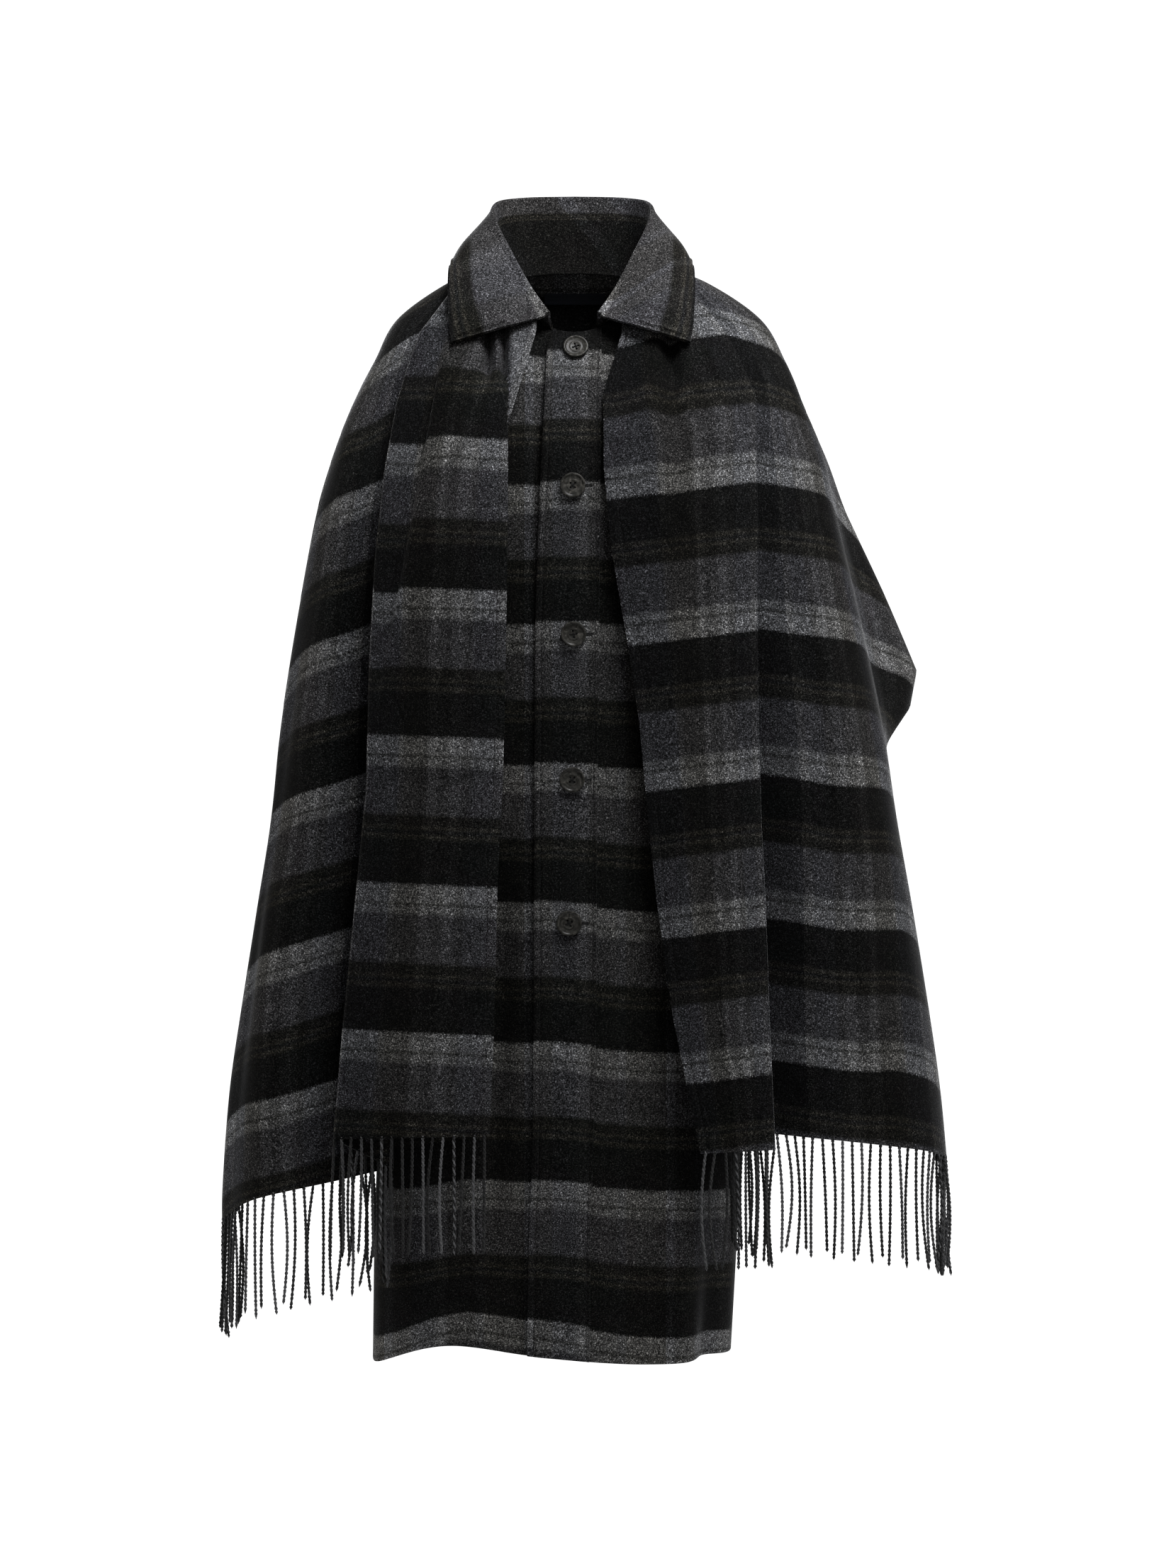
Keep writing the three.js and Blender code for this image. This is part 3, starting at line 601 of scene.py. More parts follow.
def valley(side, base, across):
    beyond = np.abs(base[..., 0]) - at_height(side["lines"], "fold", base[..., 2])
    outer = smooth((across - PATH_SHARES["turned"]) / (PATH_SHARES["under"] - PATH_SHARES["turned"]))
    near = np.where(beyond < 0, 1.0, bump(beyond, VALLEY_WIDTH)) * (base[..., 1] < 0)
    return at_height(VALLEY, "depth", base[..., 2]) * outer * near


def end_point(side, down, across, out=0.0):
    """A point of a hanging end from its shares down and across."""
    level = level_at(DRAPE, end_hem(side, across)) * down
    angle = end_angle(side, level, across)
    base = drape_base(level, angle * side["sign"])
    inside, shown = pleat_share(side, base, across)
    out = out + edge_relief(side, base[..., 2], across) - valley(side, base, across)
    height = np.interp(across, END_PATH["share"], END_PATH["height"])
    height = height + out + PLEAT_RISE["height"] * inside * shown
    shift = np.interp(across, END_PATH["share"], END_PATH["shift"])
    return drape_point(level, angle * side["sign"], height, shift * side["sign"]), angle


# Meshes


def smooth_faces(mesh):
    mesh.polygons.foreach_set("use_smooth", [True] * len(mesh.polygons))


def mesh_from(name, bm):
    mesh = bpy.data.meshes.new(name)
    bm.to_mesh(mesh)
    bm.free()
    return mesh


def add_piece(name, mesh):
    piece = bpy.data.objects.new(name, mesh)
    bpy.context.scene.collection.objects.link(piece)
    return piece


def vertex_places(mesh):
    co = np.empty(len(mesh.vertices) * 3, np.float32)
    mesh.vertices.foreach_get("co", co)
    return co.astype(float)


def move_vertices(mesh, points):
    mesh.vertices.foreach_set("co", (points.reshape(-1, 3) * MM).astype(np.float32).ravel())


def sheet_mesh(name, rows, columns, place, flip=False, closed=False):
    """A grid whose vertices are placed by their shares down and across, with the cloth's own UV map."""
    bm = bmesh.new()
    bmesh.ops.create_grid(bm, x_segments=columns, y_segments=rows, size=0.5)
    bm.loops.layers.uv.new("cloth")
    mesh = mesh_from(name, bm)
    co = vertex_places(mesh).reshape(-1, 3)
    across = co[:, 0] + 0.5
    down = 0.5 - co[:, 1]
    if flip:
        across = 1 - across
    points, cloth = place(np.clip(down, 0, 1), np.clip(across, 0, 1))
    move_vertices(mesh, points)
    loops = np.empty(len(mesh.loops), np.int32)
    mesh.loops.foreach_get("vertex_index", loops)
    mesh.uv_layers["cloth"].data.foreach_set("uv", (cloth[loops] * MM).astype(np.float32).ravel())
    if closed:
        bm = bmesh.new()
        bm.from_mesh(mesh)
        bmesh.ops.remove_doubles(bm, verts=bm.verts, dist=0.02 * MM)
        bm.to_mesh(mesh)
        bm.free()
    smooth_faces(mesh)
    return add_piece(name, mesh)


def thicken(piece, thickness, soft_edge=0.3):
    wall = piece.modifiers.new("wall", "SOLIDIFY")
    wall.thickness = thickness * MM
    wall.offset = 0
    wall.use_quality_normals = True
    edge = piece.modifiers.new("edge", "BEVEL")
    edge.width = soft_edge * thickness * MM
    edge.segments = 2
    edge.limit_method = "ANGLE"
    edge.angle_limit = np.radians(50)
    edge.harden_normals = True


def finish_piece(piece, material, slot, *nodes):
    piece.data.materials.append(material)
    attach(piece, "root")
    if nodes:
        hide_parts(*nodes)
    return piece


# Finishes


class Nodes:
    """Short names for making a material's nodes."""

    def __init__(self, name):
        self.material = bpy.data.materials.new(name)
        self.material.use_nodes = True
        self.tree = self.material.node_tree
        self.shader = self.tree.nodes["Principled BSDF"]

    def add(self, kind, **settings):
        node = self.tree.nodes.new(kind)
        for key, value in settings.items():
            setattr(node, key, value)
        return node

    def join(self, source, target):
        self.tree.links.new(source, target)

    def value(self, target, source):
        if isinstance(source, (int, float)):
            target.default_value = source
        else:
            self.join(source, target)

    def math(self, operation, a, b=0.0, c=0.0):
        node = self.add("ShaderNodeMath", operation=operation)
        for target, source in zip(node.inputs, (a, b, c)):
            self.value(target, source)
        return node.outputs[0]

    def noise(self, vector, scale, detail=2.0, rough=0.55):
        node = self.add("ShaderNodeTexNoise")
        node.inputs["Scale"].default_value = scale
        node.inputs["Detail"].default_value = detail
        node.inputs["Roughness"].default_value = rough
        self.join(vector, node.inputs["Vector"])
        return node.outputs["Fac"]

    def ramp(self, factor, stops):
        node = self.add("ShaderNodeValToRGB")
        elements = node.color_ramp.elements
        while len(elements) > 1:
            elements.remove(elements[-1])
        elements[0].position = stops[0][0]
        elements[0].color = stops[0][1]
        for position, colour in stops[1:]:
            elements.new(position).color = colour
        self.join(factor, node.inputs["Fac"])
        return node.outputs["Color"]

    def bump(self, height, strength, distance):
        node = self.add("ShaderNodeBump")
        node.inputs["Strength"].default_value = strength
        node.inputs["Distance"].default_value = distance
        self.join(height, node.inputs["Height"])
        self.join(node.outputs[0], self.shader.inputs["Normal"])


LIGHT_WOOL = 0.0245
FLECK = dict(fine=7.0, felt=4.6, cloud=0.8)
TINTS = dict(
    light=(1.0, 1.0, 0.99),
    grey=(1.0, 0.99, 1.025),
    brown=(1.08, 1.02, 0.86),
    dark=(1.05, 1.02, 0.9),
    black=(1.02, 1.02, 0.98),
)
WARM_WARP, COOL_WARP = np.array([1.03, 1.0, 0.94]), np.array([0.97, 0.99, 1.06])
STRAY = 0.0026


def stripe_stops(strength=1.0):
    """The check's repeat as colour stops, with a soft step from stripe to stripe."""
    stops = []
    for name, start, end, tone in STRIPES:
        tint = TINTS.get(name.split("_")[0], TINTS["black"])
        colour = tuple(LIGHT_WOOL * tone * strength * part for part in tint) + (1,)
        stops += [(start, colour), (end, colour)]
    stops.append((0.994, stops[0][1]))
    return stops


def warp_stops(warp, repeat):
    stops = []
    for start, end, tone, share in zip(*warp.values()):
        colour = tuple(tone * (WARM_WARP + (COOL_WARP - WARM_WARP) * share)) + (1,)
        stops += [(start / repeat, colour), (end / repeat, colour)]
    return stops


def wool(name, repeat, brightness, warp_table):
    """Brushed wool in the check: stripes down the cloth, faint ones across, felted fibres and a nap."""
    n = Nodes(name)
    uv = n.add("ShaderNodeUVMap", uv_map="cloth").outputs["UV"]
    place = n.add("ShaderNodeTexCoord").outputs["Object"]
    parts = n.add("ShaderNodeSeparateXYZ")
    n.join(uv, parts.inputs[0])
    felt = n.noise(place, 480, 3, 0.7)
    fleck = n.noise(place, 850, 1, 0.5)
    wander = n.math("MULTIPLY_ADD", fleck, STRAY, -STRAY / 2)
    down = n.math("ADD", parts.outputs["Y"], wander)
    share = n.math("FRACT", n.math("DIVIDE", down, repeat * MM))
    weft = n.ramp(share, stripe_stops(brightness))
    across = n.math("ADD", parts.outputs["X"], wander)
    warp_share = n.math("FRACT", n.math("DIVIDE", across, repeat * MM))
    warp = n.ramp(warp_share, warp_stops(warp_table, repeat))
    striped = n.add("ShaderNodeMix", data_type="RGBA", blend_type="MULTIPLY")
    striped.inputs["Factor"].default_value = 1.0
    n.join(weft, striped.inputs["A"])
    n.join(warp, striped.inputs["B"])
    cloud = n.noise(place, 60, 2, 0.5)
    mottle = n.math("MULTIPLY", cloud, FLECK["cloud"])
    mottle = n.math("MULTIPLY_ADD", felt, FLECK["felt"], mottle)
    mottle = n.math("MULTIPLY_ADD", fleck, FLECK["fine"], mottle)
    even = -0.5 * (FLECK["fine"] + FLECK["felt"] + FLECK["cloud"])
    felted = n.math("EXPONENT", n.math("ADD", mottle, even))
    coloured = n.add("ShaderNodeVectorMath", operation="SCALE")
    n.join(striped.outputs["Result"], coloured.inputs[0])
    n.join(felted, coloured.inputs["Scale"])
    n.join(coloured.outputs[0], n.shader.inputs["Base Color"])
    height = n.math("ADD", n.math("MULTIPLY", felt, 0.6), n.math("MULTIPLY", fleck, 0.4))
    n.bump(height, 0.5, 0.0009)
    n.shader.inputs["Roughness"].default_value = 0.95
    n.shader.inputs["Specular IOR Level"].default_value = 0.02
    n.shader.inputs["Sheen Weight"].default_value = 0.07
    n.shader.inputs["Sheen Roughness"].default_value = 0.22
    return n.material


def plain(name, colour, roughness, scale=700, contrast=0.6):
    """A plain thread or tape: one colour with a fine grain."""
    n = Nodes(name)
    place = n.add("ShaderNodeTexCoord").outputs["Object"]
    grain = n.noise(place, scale, 2, 0.6)
    dark = tuple(part * (1 - contrast) for part in colour) + (1,)
    pale = tuple(part * (1 + contrast) for part in colour) + (1,)
    n.join(n.ramp(grain, [(0.3, dark), (0.7, pale)]), n.shader.inputs["Base Color"])
    n.bump(grain, 0.4, 0.0004)
    n.shader.inputs["Roughness"].default_value = roughness
    n.shader.inputs["Specular IOR Level"].default_value = 0.03
    return n.material


HORN_TONES = (
    (0.38, (0.006, 0.0058, 0.005, 1)),
    (0.56, (0.013, 0.0125, 0.011, 1)),
    (0.74, (0.034, 0.032, 0.028, 1)),
)
YARN_TONES = (
    (0.0, (0.005, 0.005, 0.005, 1)),
    (0.4, (0.011, 0.011, 0.0108, 1)),
    (0.7, (0.02, 0.02, 0.0203, 1)),
    (1.0, (0.042, 0.042, 0.043, 1)),
)


def horn():
    """Polished dark horn with pale and dark clouds."""
    n = Nodes("horn")
    place = n.add("ShaderNodeTexCoord").outputs["Object"]
    swirl = n.add("ShaderNodeTexNoise")
    swirl.inputs["Scale"].default_value = 130
    swirl.inputs["Detail"].default_value = 4
    swirl.inputs["Distortion"].default_value = 2.2
    n.join(place, swirl.inputs["Vector"])
    n.join(n.ramp(swirl.outputs["Fac"], HORN_TONES), n.shader.inputs["Base Color"])
    scratches = n.noise(place, 1500, 2)
    n.join(n.math("MULTIPLY_ADD", scratches, 0.16, 0.22), n.shader.inputs["Roughness"])
    n.shader.inputs["Specular IOR Level"].default_value = 0.04
    return n.material


def fringe_wool():
    """Twisted yarn: each cord has its own tone, kept in an attribute of the mesh."""
    n = Nodes("fringe_wool")
    tone = n.add("ShaderNodeAttribute", attribute_name="tone").outputs["Fac"]
    place = n.add("ShaderNodeTexCoord").outputs["Object"]
    fuzz = n.noise(place, 1200, 2, 0.6)
    yarn = n.ramp(tone, YARN_TONES)
    coloured = n.add("ShaderNodeVectorMath", operation="SCALE")
    n.join(yarn, coloured.inputs[0])
    n.join(n.math("MULTIPLY_ADD", fuzz, 1.6, 0.2), coloured.inputs["Scale"])
    n.join(coloured.outputs[0], n.shader.inputs["Base Color"])
    n.bump(fuzz, 0.5, 0.0004)
    n.shader.inputs["Roughness"].default_value = 0.95
    n.shader.inputs["Specular IOR Level"].default_value = 0.03
    n.shader.inputs["Sheen Weight"].default_value = 0.015
    return n.material


COAT_WOOL = wool("coat_wool", COAT_REPEAT, 0.9, COAT_WARP)
# The collar is cut from the coat's cloth, but its copy is a third brighter than the coat's: painted light
# on the collar
COLLAR_WOOL_PAINTED_LIGHT = wool("collar_wool_painted_light", COAT_REPEAT, 1.2, COAT_WARP)
SCARF_WOOL = wool("scarf_wool", SCARF_REPEAT, 1.0, SCARF_WARP)
FRINGE_WOOL = fringe_wool()
THREAD = plain("sewing_thread", (0.004, 0.004, 0.004), 0.8)
WORKED_THREAD = plain("buttonhole_thread", (0.007, 0.007, 0.0068), 0.8)
LABEL_CLOTH = plain("label_cloth", (0.007, 0.0078, 0.0098), 0.7, 1800, 0.3)
HORN = horn()


# Coat pieces

WARP_START = 49
SIDE_SEAM = 0.12
PLACKET_SHIFT = 3
SLEEVE_ROUND = 400


def coat_back():
    def place(down, across):
        level = down * HEM_LEVEL
        side = 90 + armhole_angle(level, ARMHOLE["back"]) + SIDE_SEAM
        angle = 360 - side + (2 * side - 360) * across
        p = body_point(level, angle, COAT_WALL / 2)
        base = body_base(level, angle)
        v = coat_cloth(base) - at_height(NECK_CHECK, "fall", base[:, 2])
        return p, np.stack([p[:, 0] + WARP_START, v], -1)

    piece = sheet_mesh("coat_back", 190, 90, place, flip=True)
    thicken(piece, COAT_WALL)
    return finish_piece(piece, COAT_WOOL, "coat_wool", "back")


def coat_front(name, sign, node):
    def place(down, across):
        level = down * HEM_LEVEL
        side = 90 - armhole_angle(level, ARMHOLE["front"]) - SIDE_SEAM
        under = -front_angle(level, UNDER_LAP + column(BODY, "mid", level))
        reach = opening_angle(level, "edge") if sign > 0 else under
        angle = (side + (reach - side) * across) * sign
        base = body_point(level, angle)
        rise = 0.0
        if sign > 0:
            inner = at_height(OPENING, "inner", base[:, 2])
            rise = LAP_RISE * smooth((inner + LAP_FADE - base[:, 0]) / LAP_FADE)
        p = body_point(level, angle, COAT_WALL / 2 + rise)
        return p, np.stack([p[:, 0] + WARP_START, coat_cloth(body_base(level, angle))], -1)

    piece = sheet_mesh(name, 230, 56, place, flip=sign > 0)
    thicken(piece, COAT_WALL)
    return finish_piece(piece, COAT_WOOL, "coat_wool", node)


PLACKET_OUT = COAT_WALL + LAP_RISE + SEAM
STITCH_IN = dict(edge=5.0, inner=3.0)
GROOVE = dict(depth=1.3, width=1.5, puff=0.6)


def groove(distance, at):
    """A sewn line at a distance from the edge: sunk along the thread, and full between it and the edge."""
    full = GROOVE["puff"] * smooth((at - distance) / 2) * smooth(distance / 2)
    return full - GROOVE["depth"] * bump(distance - at, GROOVE["width"])


def placket_place(down, across, out=0.0):
    level = down * HEM_LEVEL
    edge, inner = opening_angle(level, "edge"), opening_angle(level, "inner")
    angle = edge + (inner - edge) * across
    wide = np.radians(inner - edge) * column(BODY, "wide", level)
    relief = groove(across * wide, STITCH_IN["edge"]) + groove((1 - across) * wide, STITCH_IN["inner"])
    p = body_point(level, angle, PLACKET_OUT + PLACKET_WALL / 2 + relief + out)
    return p, np.stack([p[:, 0] + WARP_START, coat_cloth(body_base(level, angle)) + PLACKET_SHIFT], -1)


def placket():
    piece = sheet_mesh("placket_band", 260, 44, placket_place)
    thicken(piece, PLACKET_WALL)
    return finish_piece(piece, COAT_WOOL, "coat_wool", "placket")


def sleeve(name, sign, node):
    share_armhole = 0.06

    def place(down, across):
        turn = 360 * across
        c, s = np.cos(np.radians(turn)), np.sin(np.radians(turn))
        level = ARMHOLE["level"] - ARMHOLE["half"] * ARMHOLE["inside"] * c
        reach = np.where(turn < 180, -ARMHOLE["front"], ARMHOLE["back"])
        rim = body_point(level, 90 + reach * ARMHOLE["inside"] * np.abs(s), COAT_WALL / 2)
        ring = np.clip((down - share_armhole) / (1 - share_armhole), 0, 1) * (len(SLEEVE["y"]) - 1)
        value = {key: column(SLEEVE, key, ring) for key in SLEEVE}
        out = np.stack([value["outX"], value["y"], value["outZ"]], -1)
        centre = (out + np.stack([value["inX"], value["y"], value["inZ"]], -1)) / 2
        tube = centre + (out - centre) * c[:, None]
        tube[:, 1] -= value["half"] * s
        mix = np.clip(down / share_armhole, 0, 1)[:, None]
        p = rim * (1 - mix) + tube * mix
        cloth = np.stack([across * SLEEVE_ROUND, -tube[:, 2]], -1)
        p[:, 0] *= sign
        return p, cloth

    piece = sheet_mesh(name, 120, 54, place, flip=sign > 0, closed=True)
    thicken(piece, COAT_WALL)
    return finish_piece(piece, COAT_WOOL, "coat_wool", node)


def spline(points, t):
    """A centripetal Catmull-Rom curve through points, each an array of places, at shares t."""
    count = len(points) - 1
    at = np.clip(t, 0, 1) * count
    i = np.minimum(np.floor(at).astype(int), count - 1)
    w = (at - i)[:, None]
    padded = np.concatenate([[2 * points[0] - points[1]], points, [2 * points[-1] - points[-2]]])
    own = np.arange(len(t))
    a, b, c, d = (padded[i + k, own] for k in range(4))
    steps = (b - a, c - b, d - c)
    gaps = [np.maximum(np.linalg.norm(step, axis=-1, keepdims=True), 1e-3) ** 0.5 for step in steps]
    start = ((b - a) / gaps[0] - (c - a) / (gaps[0] + gaps[1]) + (c - b) / gaps[1]) * gaps[1]
    end = ((c - b) / gaps[1] - (d - b) / (gaps[1] + gaps[2]) + (d - c) / gaps[2]) * gaps[1]
    square, cube = 3 * c - 3 * b - 2 * start - end, 2 * b - 2 * c + start + end
    return b + start * w + square * w**2 + cube * w**3


COLLAR_EDGE_STITCH = 6.5
COLLAR_END_SEAM = 94.0
COLLAR_TURN = dict(stand=0.55, half=5, rise=2.5, tight=30)


def collar_place(down, across):
    """down runs from the right front end round the neck to the left one, and across from seam to edge."""
    last = len(COLLAR["angle"]) - 1
    station = np.abs(down - 0.5) * 2 * last
    sign = np.sign(down - 0.5)
    place = {
        key: np.stack([column(COLLAR, key + axis, station) for axis in "XYZ"], -1)
        for key in ("roll", "belly", "edge")
    }
    for points in place.values():
        points[:, 0] *= np.where(sign < 0, COLLAR_WIDTH["right"], COLLAR_WIDTH["left"])
    neck = body_point(np.zeros(len(down)), column(COLLAR, "angle", station))
    neck[:, :2] *= COLLAR_SEAM["inside"]
    neck[:, 2] += COLLAR_SEAM["lift"] * station / last
    roll, belly, edge = place["roll"], place["belly"], place["edge"]
    tight = np.minimum(1, np.linalg.norm(roll - neck, axis=-1) / COLLAR_TURN["tight"])
    stand = neck + (roll - neck) * COLLAR_TURN["stand"]
    inside = roll + unit(neck - roll) * (COLLAR_TURN["half"] * tight + 1)[:, None]
    outside = roll + unit(belly - roll) * COLLAR_TURN["half"]
    top = roll + np.array([0, 0, COLLAR_TURN["rise"]])
    p = spline(np.stack([neck, stand, inside, top, outside, belly, edge]), across)
    p[:, 0] *= np.where(sign == 0, 1, sign)
    return p


def grid_lengths(points, rows, columns):
    """How far each point of a grid is from its first row and from its first column, along the grid."""
    grid = points.reshape(rows, columns, 3)
    down = np.linalg.norm(np.diff(grid, axis=0), axis=-1).cumsum(0)
    across = np.linalg.norm(np.diff(grid, axis=1), axis=-1).cumsum(1)
    down = np.concatenate([np.zeros((1, columns)), down], 0)
    across = np.concatenate([np.zeros((rows, 1)), across], 1)
    return down, across


COLLAR_ROWS, COLLAR_COLUMNS = 240, 84

# Where the check stands at the collar's free edge and how fast it runs over the leaf, and the faint
# stripes round the neck. Inside the roll it follows the table.
COLLAR_CLOTH = dict(edge=99, leaf=0.8, round=0.5, start=10)
# Inside the roll the stand starts on the grey stripe rather than the light one: partly the check's order,
# partly painted shade on the top of the stand's inside
COLLAR_STAND = table(
    "inside cloth",
    (0, 56),
    (16, 71),
    (24, 99),
    (90, 135),
)
COLLAR_ROLL = 0.5


def collar_shares(across):
    """Closer columns towards the collar's free edge, where the stitching is."""
    return np.where(across < 0.5, across * 1.3, 0.65 + (across - 0.5) * 0.7)


def collar():
    piece_grid = {}

    def place(down, across):
        p = collar_place(down, collar_shares(across))
        order = np.lexsort((across, down))
        sorted_points = p[order]
        lengths_down, lengths_across = grid_lengths(sorted_points, COLLAR_ROWS + 1, COLLAR_COLUMNS + 1)
        total_down, total_across = lengths_down[-1:, :], lengths_across[:, -1:]
        to_edge = total_across - lengths_across
        to_end = np.minimum(lengths_down, total_down - lengths_down)
        grid = sorted_points.reshape(COLLAR_ROWS + 1, COLLAR_COLUMNS + 1, 3)
        normal = unit(np.cross(np.gradient(grid, axis=0), np.gradient(grid, axis=1)))
        leaf = smooth((lengths_across / total_across - 0.5) / 0.1)
        relief = groove(np.minimum(to_edge, to_end), COLLAR_EDGE_STITCH) * leaf
        lifted = grid - normal * relief[..., None]
        shares = collar_shares(across[order].reshape(grid.shape[:2]))
        roll = lengths_across[:, int(np.argmin(np.abs(shares[0] - COLLAR_ROLL)))][:, None]
        leaf_cloth = COLLAR_CLOTH["edge"] - COLLAR_CLOTH["leaf"] * to_edge
        stand_cloth = np.interp(roll - lengths_across, COLLAR_STAND["inside"], COLLAR_STAND["cloth"])
        u = lengths_down * COLLAR_CLOTH["round"] + COLLAR_CLOTH["start"]
        cloth = np.stack([u, np.where(lengths_across < roll, stand_cloth, leaf_cloth)], -1)
        back = np.empty(len(order), int)
        back[order] = np.arange(len(order))
        piece_grid.update(points=lifted, outward=-normal, to_edge=to_edge, to_end=lengths_down)
        return lifted.reshape(-1, 3)[back], cloth.reshape(-1, 2)[back]

    piece = sheet_mesh("coat_collar", COLLAR_ROWS, COLLAR_COLUMNS, place, flip=True)
    thicken(piece, COLLAR_WALL, 0.42)
    return finish_piece(piece, COLLAR_WOOL_PAINTED_LIGHT, "coat_wool", "collar"), piece_grid


def neck_tab():
    def place(down, across):
        level = LABEL["top"] + (LABEL["low"] - LABEL["top"]) * down
        half = np.degrees(np.arcsin(LABEL["half"] / column(BODY, "wide", level)))
        angle = 180 + half * (2 * across - 1)
        p = body_point(level, angle, -LABEL["inside"])
        return p, np.stack([across, down], -1)

    piece = sheet_mesh("neck_tab", 8, 24, place)
    thicken(piece, LABEL_WALL)
    return finish_piece(piece, LABEL_CLOTH, "label_cloth", "neck_label")


# Scarf pieces

# Where the check lies on the scarf. On each end it runs down the cloth. The outer section lies lower
# by a step and its stripes fall outwards at a slope.
CHECK_RIGHT = dict(start=-10, inner_slope=0.04)
CHECK_LEFT = dict(start=-47.8, inner_slope=0.125)
OUTER_SLOPE = table(
    "z right left right_step left_step",
    (-60, 0.75, 0.25, 9, -12),
    (-200, 0.6, 0.18, 9, -12),
    (-340, 0.52, 0.16, 9, -12),
    (-480, 0.44, 0.14, 15, -12),
    (-630, 0.4, 0.145, 23, -15),
    (-780, 0.37, 0.155, 31, -20),
    (-900, 0.36, 0.16, 32, -20),
)
BACK_SLOPE = dict(start=62, fall=1.76, until=60)
OUTER_START = 30
# The outer section's warp starts at 74 mm, on the darkened band of SCARF_WARP, so that painted shade lies
# beside the fold
OUTER_WARP = dict(start=74, wide=620)

# Small waves of the stripes where the cloth is bunched: where, how far they fall, and how wide
STRIPE_WAVES = table(
    "x z fall wide tall",
    (72, -118, -3.5, 16, 55),
    (92, -124, 3.5, 12, 55),
    (84, -58, -5, 18, 20),
    (96, -190, 2, 16, 60),
    (-98, -70, 4, 10, 60),
    (-118, -150, -3, 12, 60),
    (-300, -700, 5, 26, 160),
    (262, -560, 4, 30, 180),
    (318, -760, -5, 22, 140),
)

# Beside the neck the right end's inner edge is turned over. Its patch is given one even pale tone: partly
# the check's light stripe, partly painted light on the turned face.
TURNED = dict(x=64.5, low=-141, cloth=26, across=0.03)


def end_cloth(side, angle, across, base):
    """Down and across the scarf's cloth at a point of a hanging end."""
    right = side["sign"] < 0
    check = CHECK_RIGHT if right else CHECK_LEFT
    z = base[:, 2]
    x = np.abs(base[:, 0])
    fold_x = at_height(side["lines"], "fold", z)
    outer = across > (PATH_SHARES["turned"] + PATH_SHARES["under"]) / 2
    hand = "right" if right else "left"
    slope, step = at_height(OUTER_SLOPE, hand, z), at_height(OUTER_SLOPE, hand + "_step", z)
    past = np.maximum(0, angle - BACK_SLOPE["start"])
    away = np.maximum(0, x - fold_x + OUTER_START)
    behind = BACK_SLOPE["fall"] * past * smooth(past / BACK_SLOPE["until"])
    fall = np.where(outer, step + slope * away + behind, 0)
    inner_fall = check["inner_slope"] * (fold_x - x)
    along = -z - fall - np.where(outer, 0, inner_fall)
    inside, shown = pleat_share(side, base, across)
    along -= PLEAT_RISE["step"] * (1 - inside) * shown
    for wave_x, wave_z, wave_fall, wide, tall in zip(*STRIPE_WAVES.values()):
        along -= wave_fall * bump(base[:, 0] - wave_x, wide) * bump(z - wave_z, tall)
    cloth = along + check["start"] if right else -along - check["start"]
    if right:
        # the turned patch gets one even pale tone: partly the light stripe, partly painted light
        turned = (x < TURNED["x"]) & (z > TURNED["low"]) & (across < PATH_SHARES["fold"])
        flap = TURNED["cloth"] + TURNED["across"] * (x - at_height(side["lines"], "inner", z))
        cloth = np.where(turned, flap, cloth)
    return cloth


def scarf_end(name, side, node):
    def place(down, across):
        p, angle = end_point(side, down, across)
        level = level_at(DRAPE, end_hem(side, across)) * down
        base = drape_base(level, angle * side["sign"])
        v = end_cloth(side, angle, across, base)
        near = across / PATH_SHARES["fold"]
        inner = SCARF_REPEAT * np.where(side["sign"] < 0, near, 1 - near)
        outer = OUTER_WARP["start"] + (across - PATH_SHARES["under"]) * OUTER_WARP["wide"]
        u = np.where(across < PATH_SHARES["under"], inner, outer)
        return p, np.stack([u, v], -1)

    piece = sheet_mesh(name, 220, 176, place, flip=side["sign"] < 0)
    thicken(piece, SCARF_WALL)
    return finish_piece(piece, SCARF_WOOL, "scarf_wool", node)


def scarf_back():
    def place(down, across):
        start, end = JOIN_ANGLE + JOIN_GAP, 360 - JOIN_ANGLE - JOIN_GAP
        angle = start + (end - start) * across
        away = smooth(np.abs(180 - angle) / (180 - JOIN_ANGLE))
        join = np.where(angle < 180, LEFT["join"], RIGHT["join"])
        level = level_at(DRAPE, BACK_DROP + (join - BACK_DROP) * away) * down
        p = drape_point(level, angle, LAYER["low"])
        return p, np.stack([-p[:, 2], -p[:, 0]], -1)

    piece = sheet_mesh("scarf_over_back", 130, 120, place)
    thicken(piece, SCARF_WALL)
    return finish_piece(piece, SCARF_WOOL, "scarf_wool", "scarf_back")


PLIES = 2
PLY_SIDES = 6
PLY_STEPS = 40


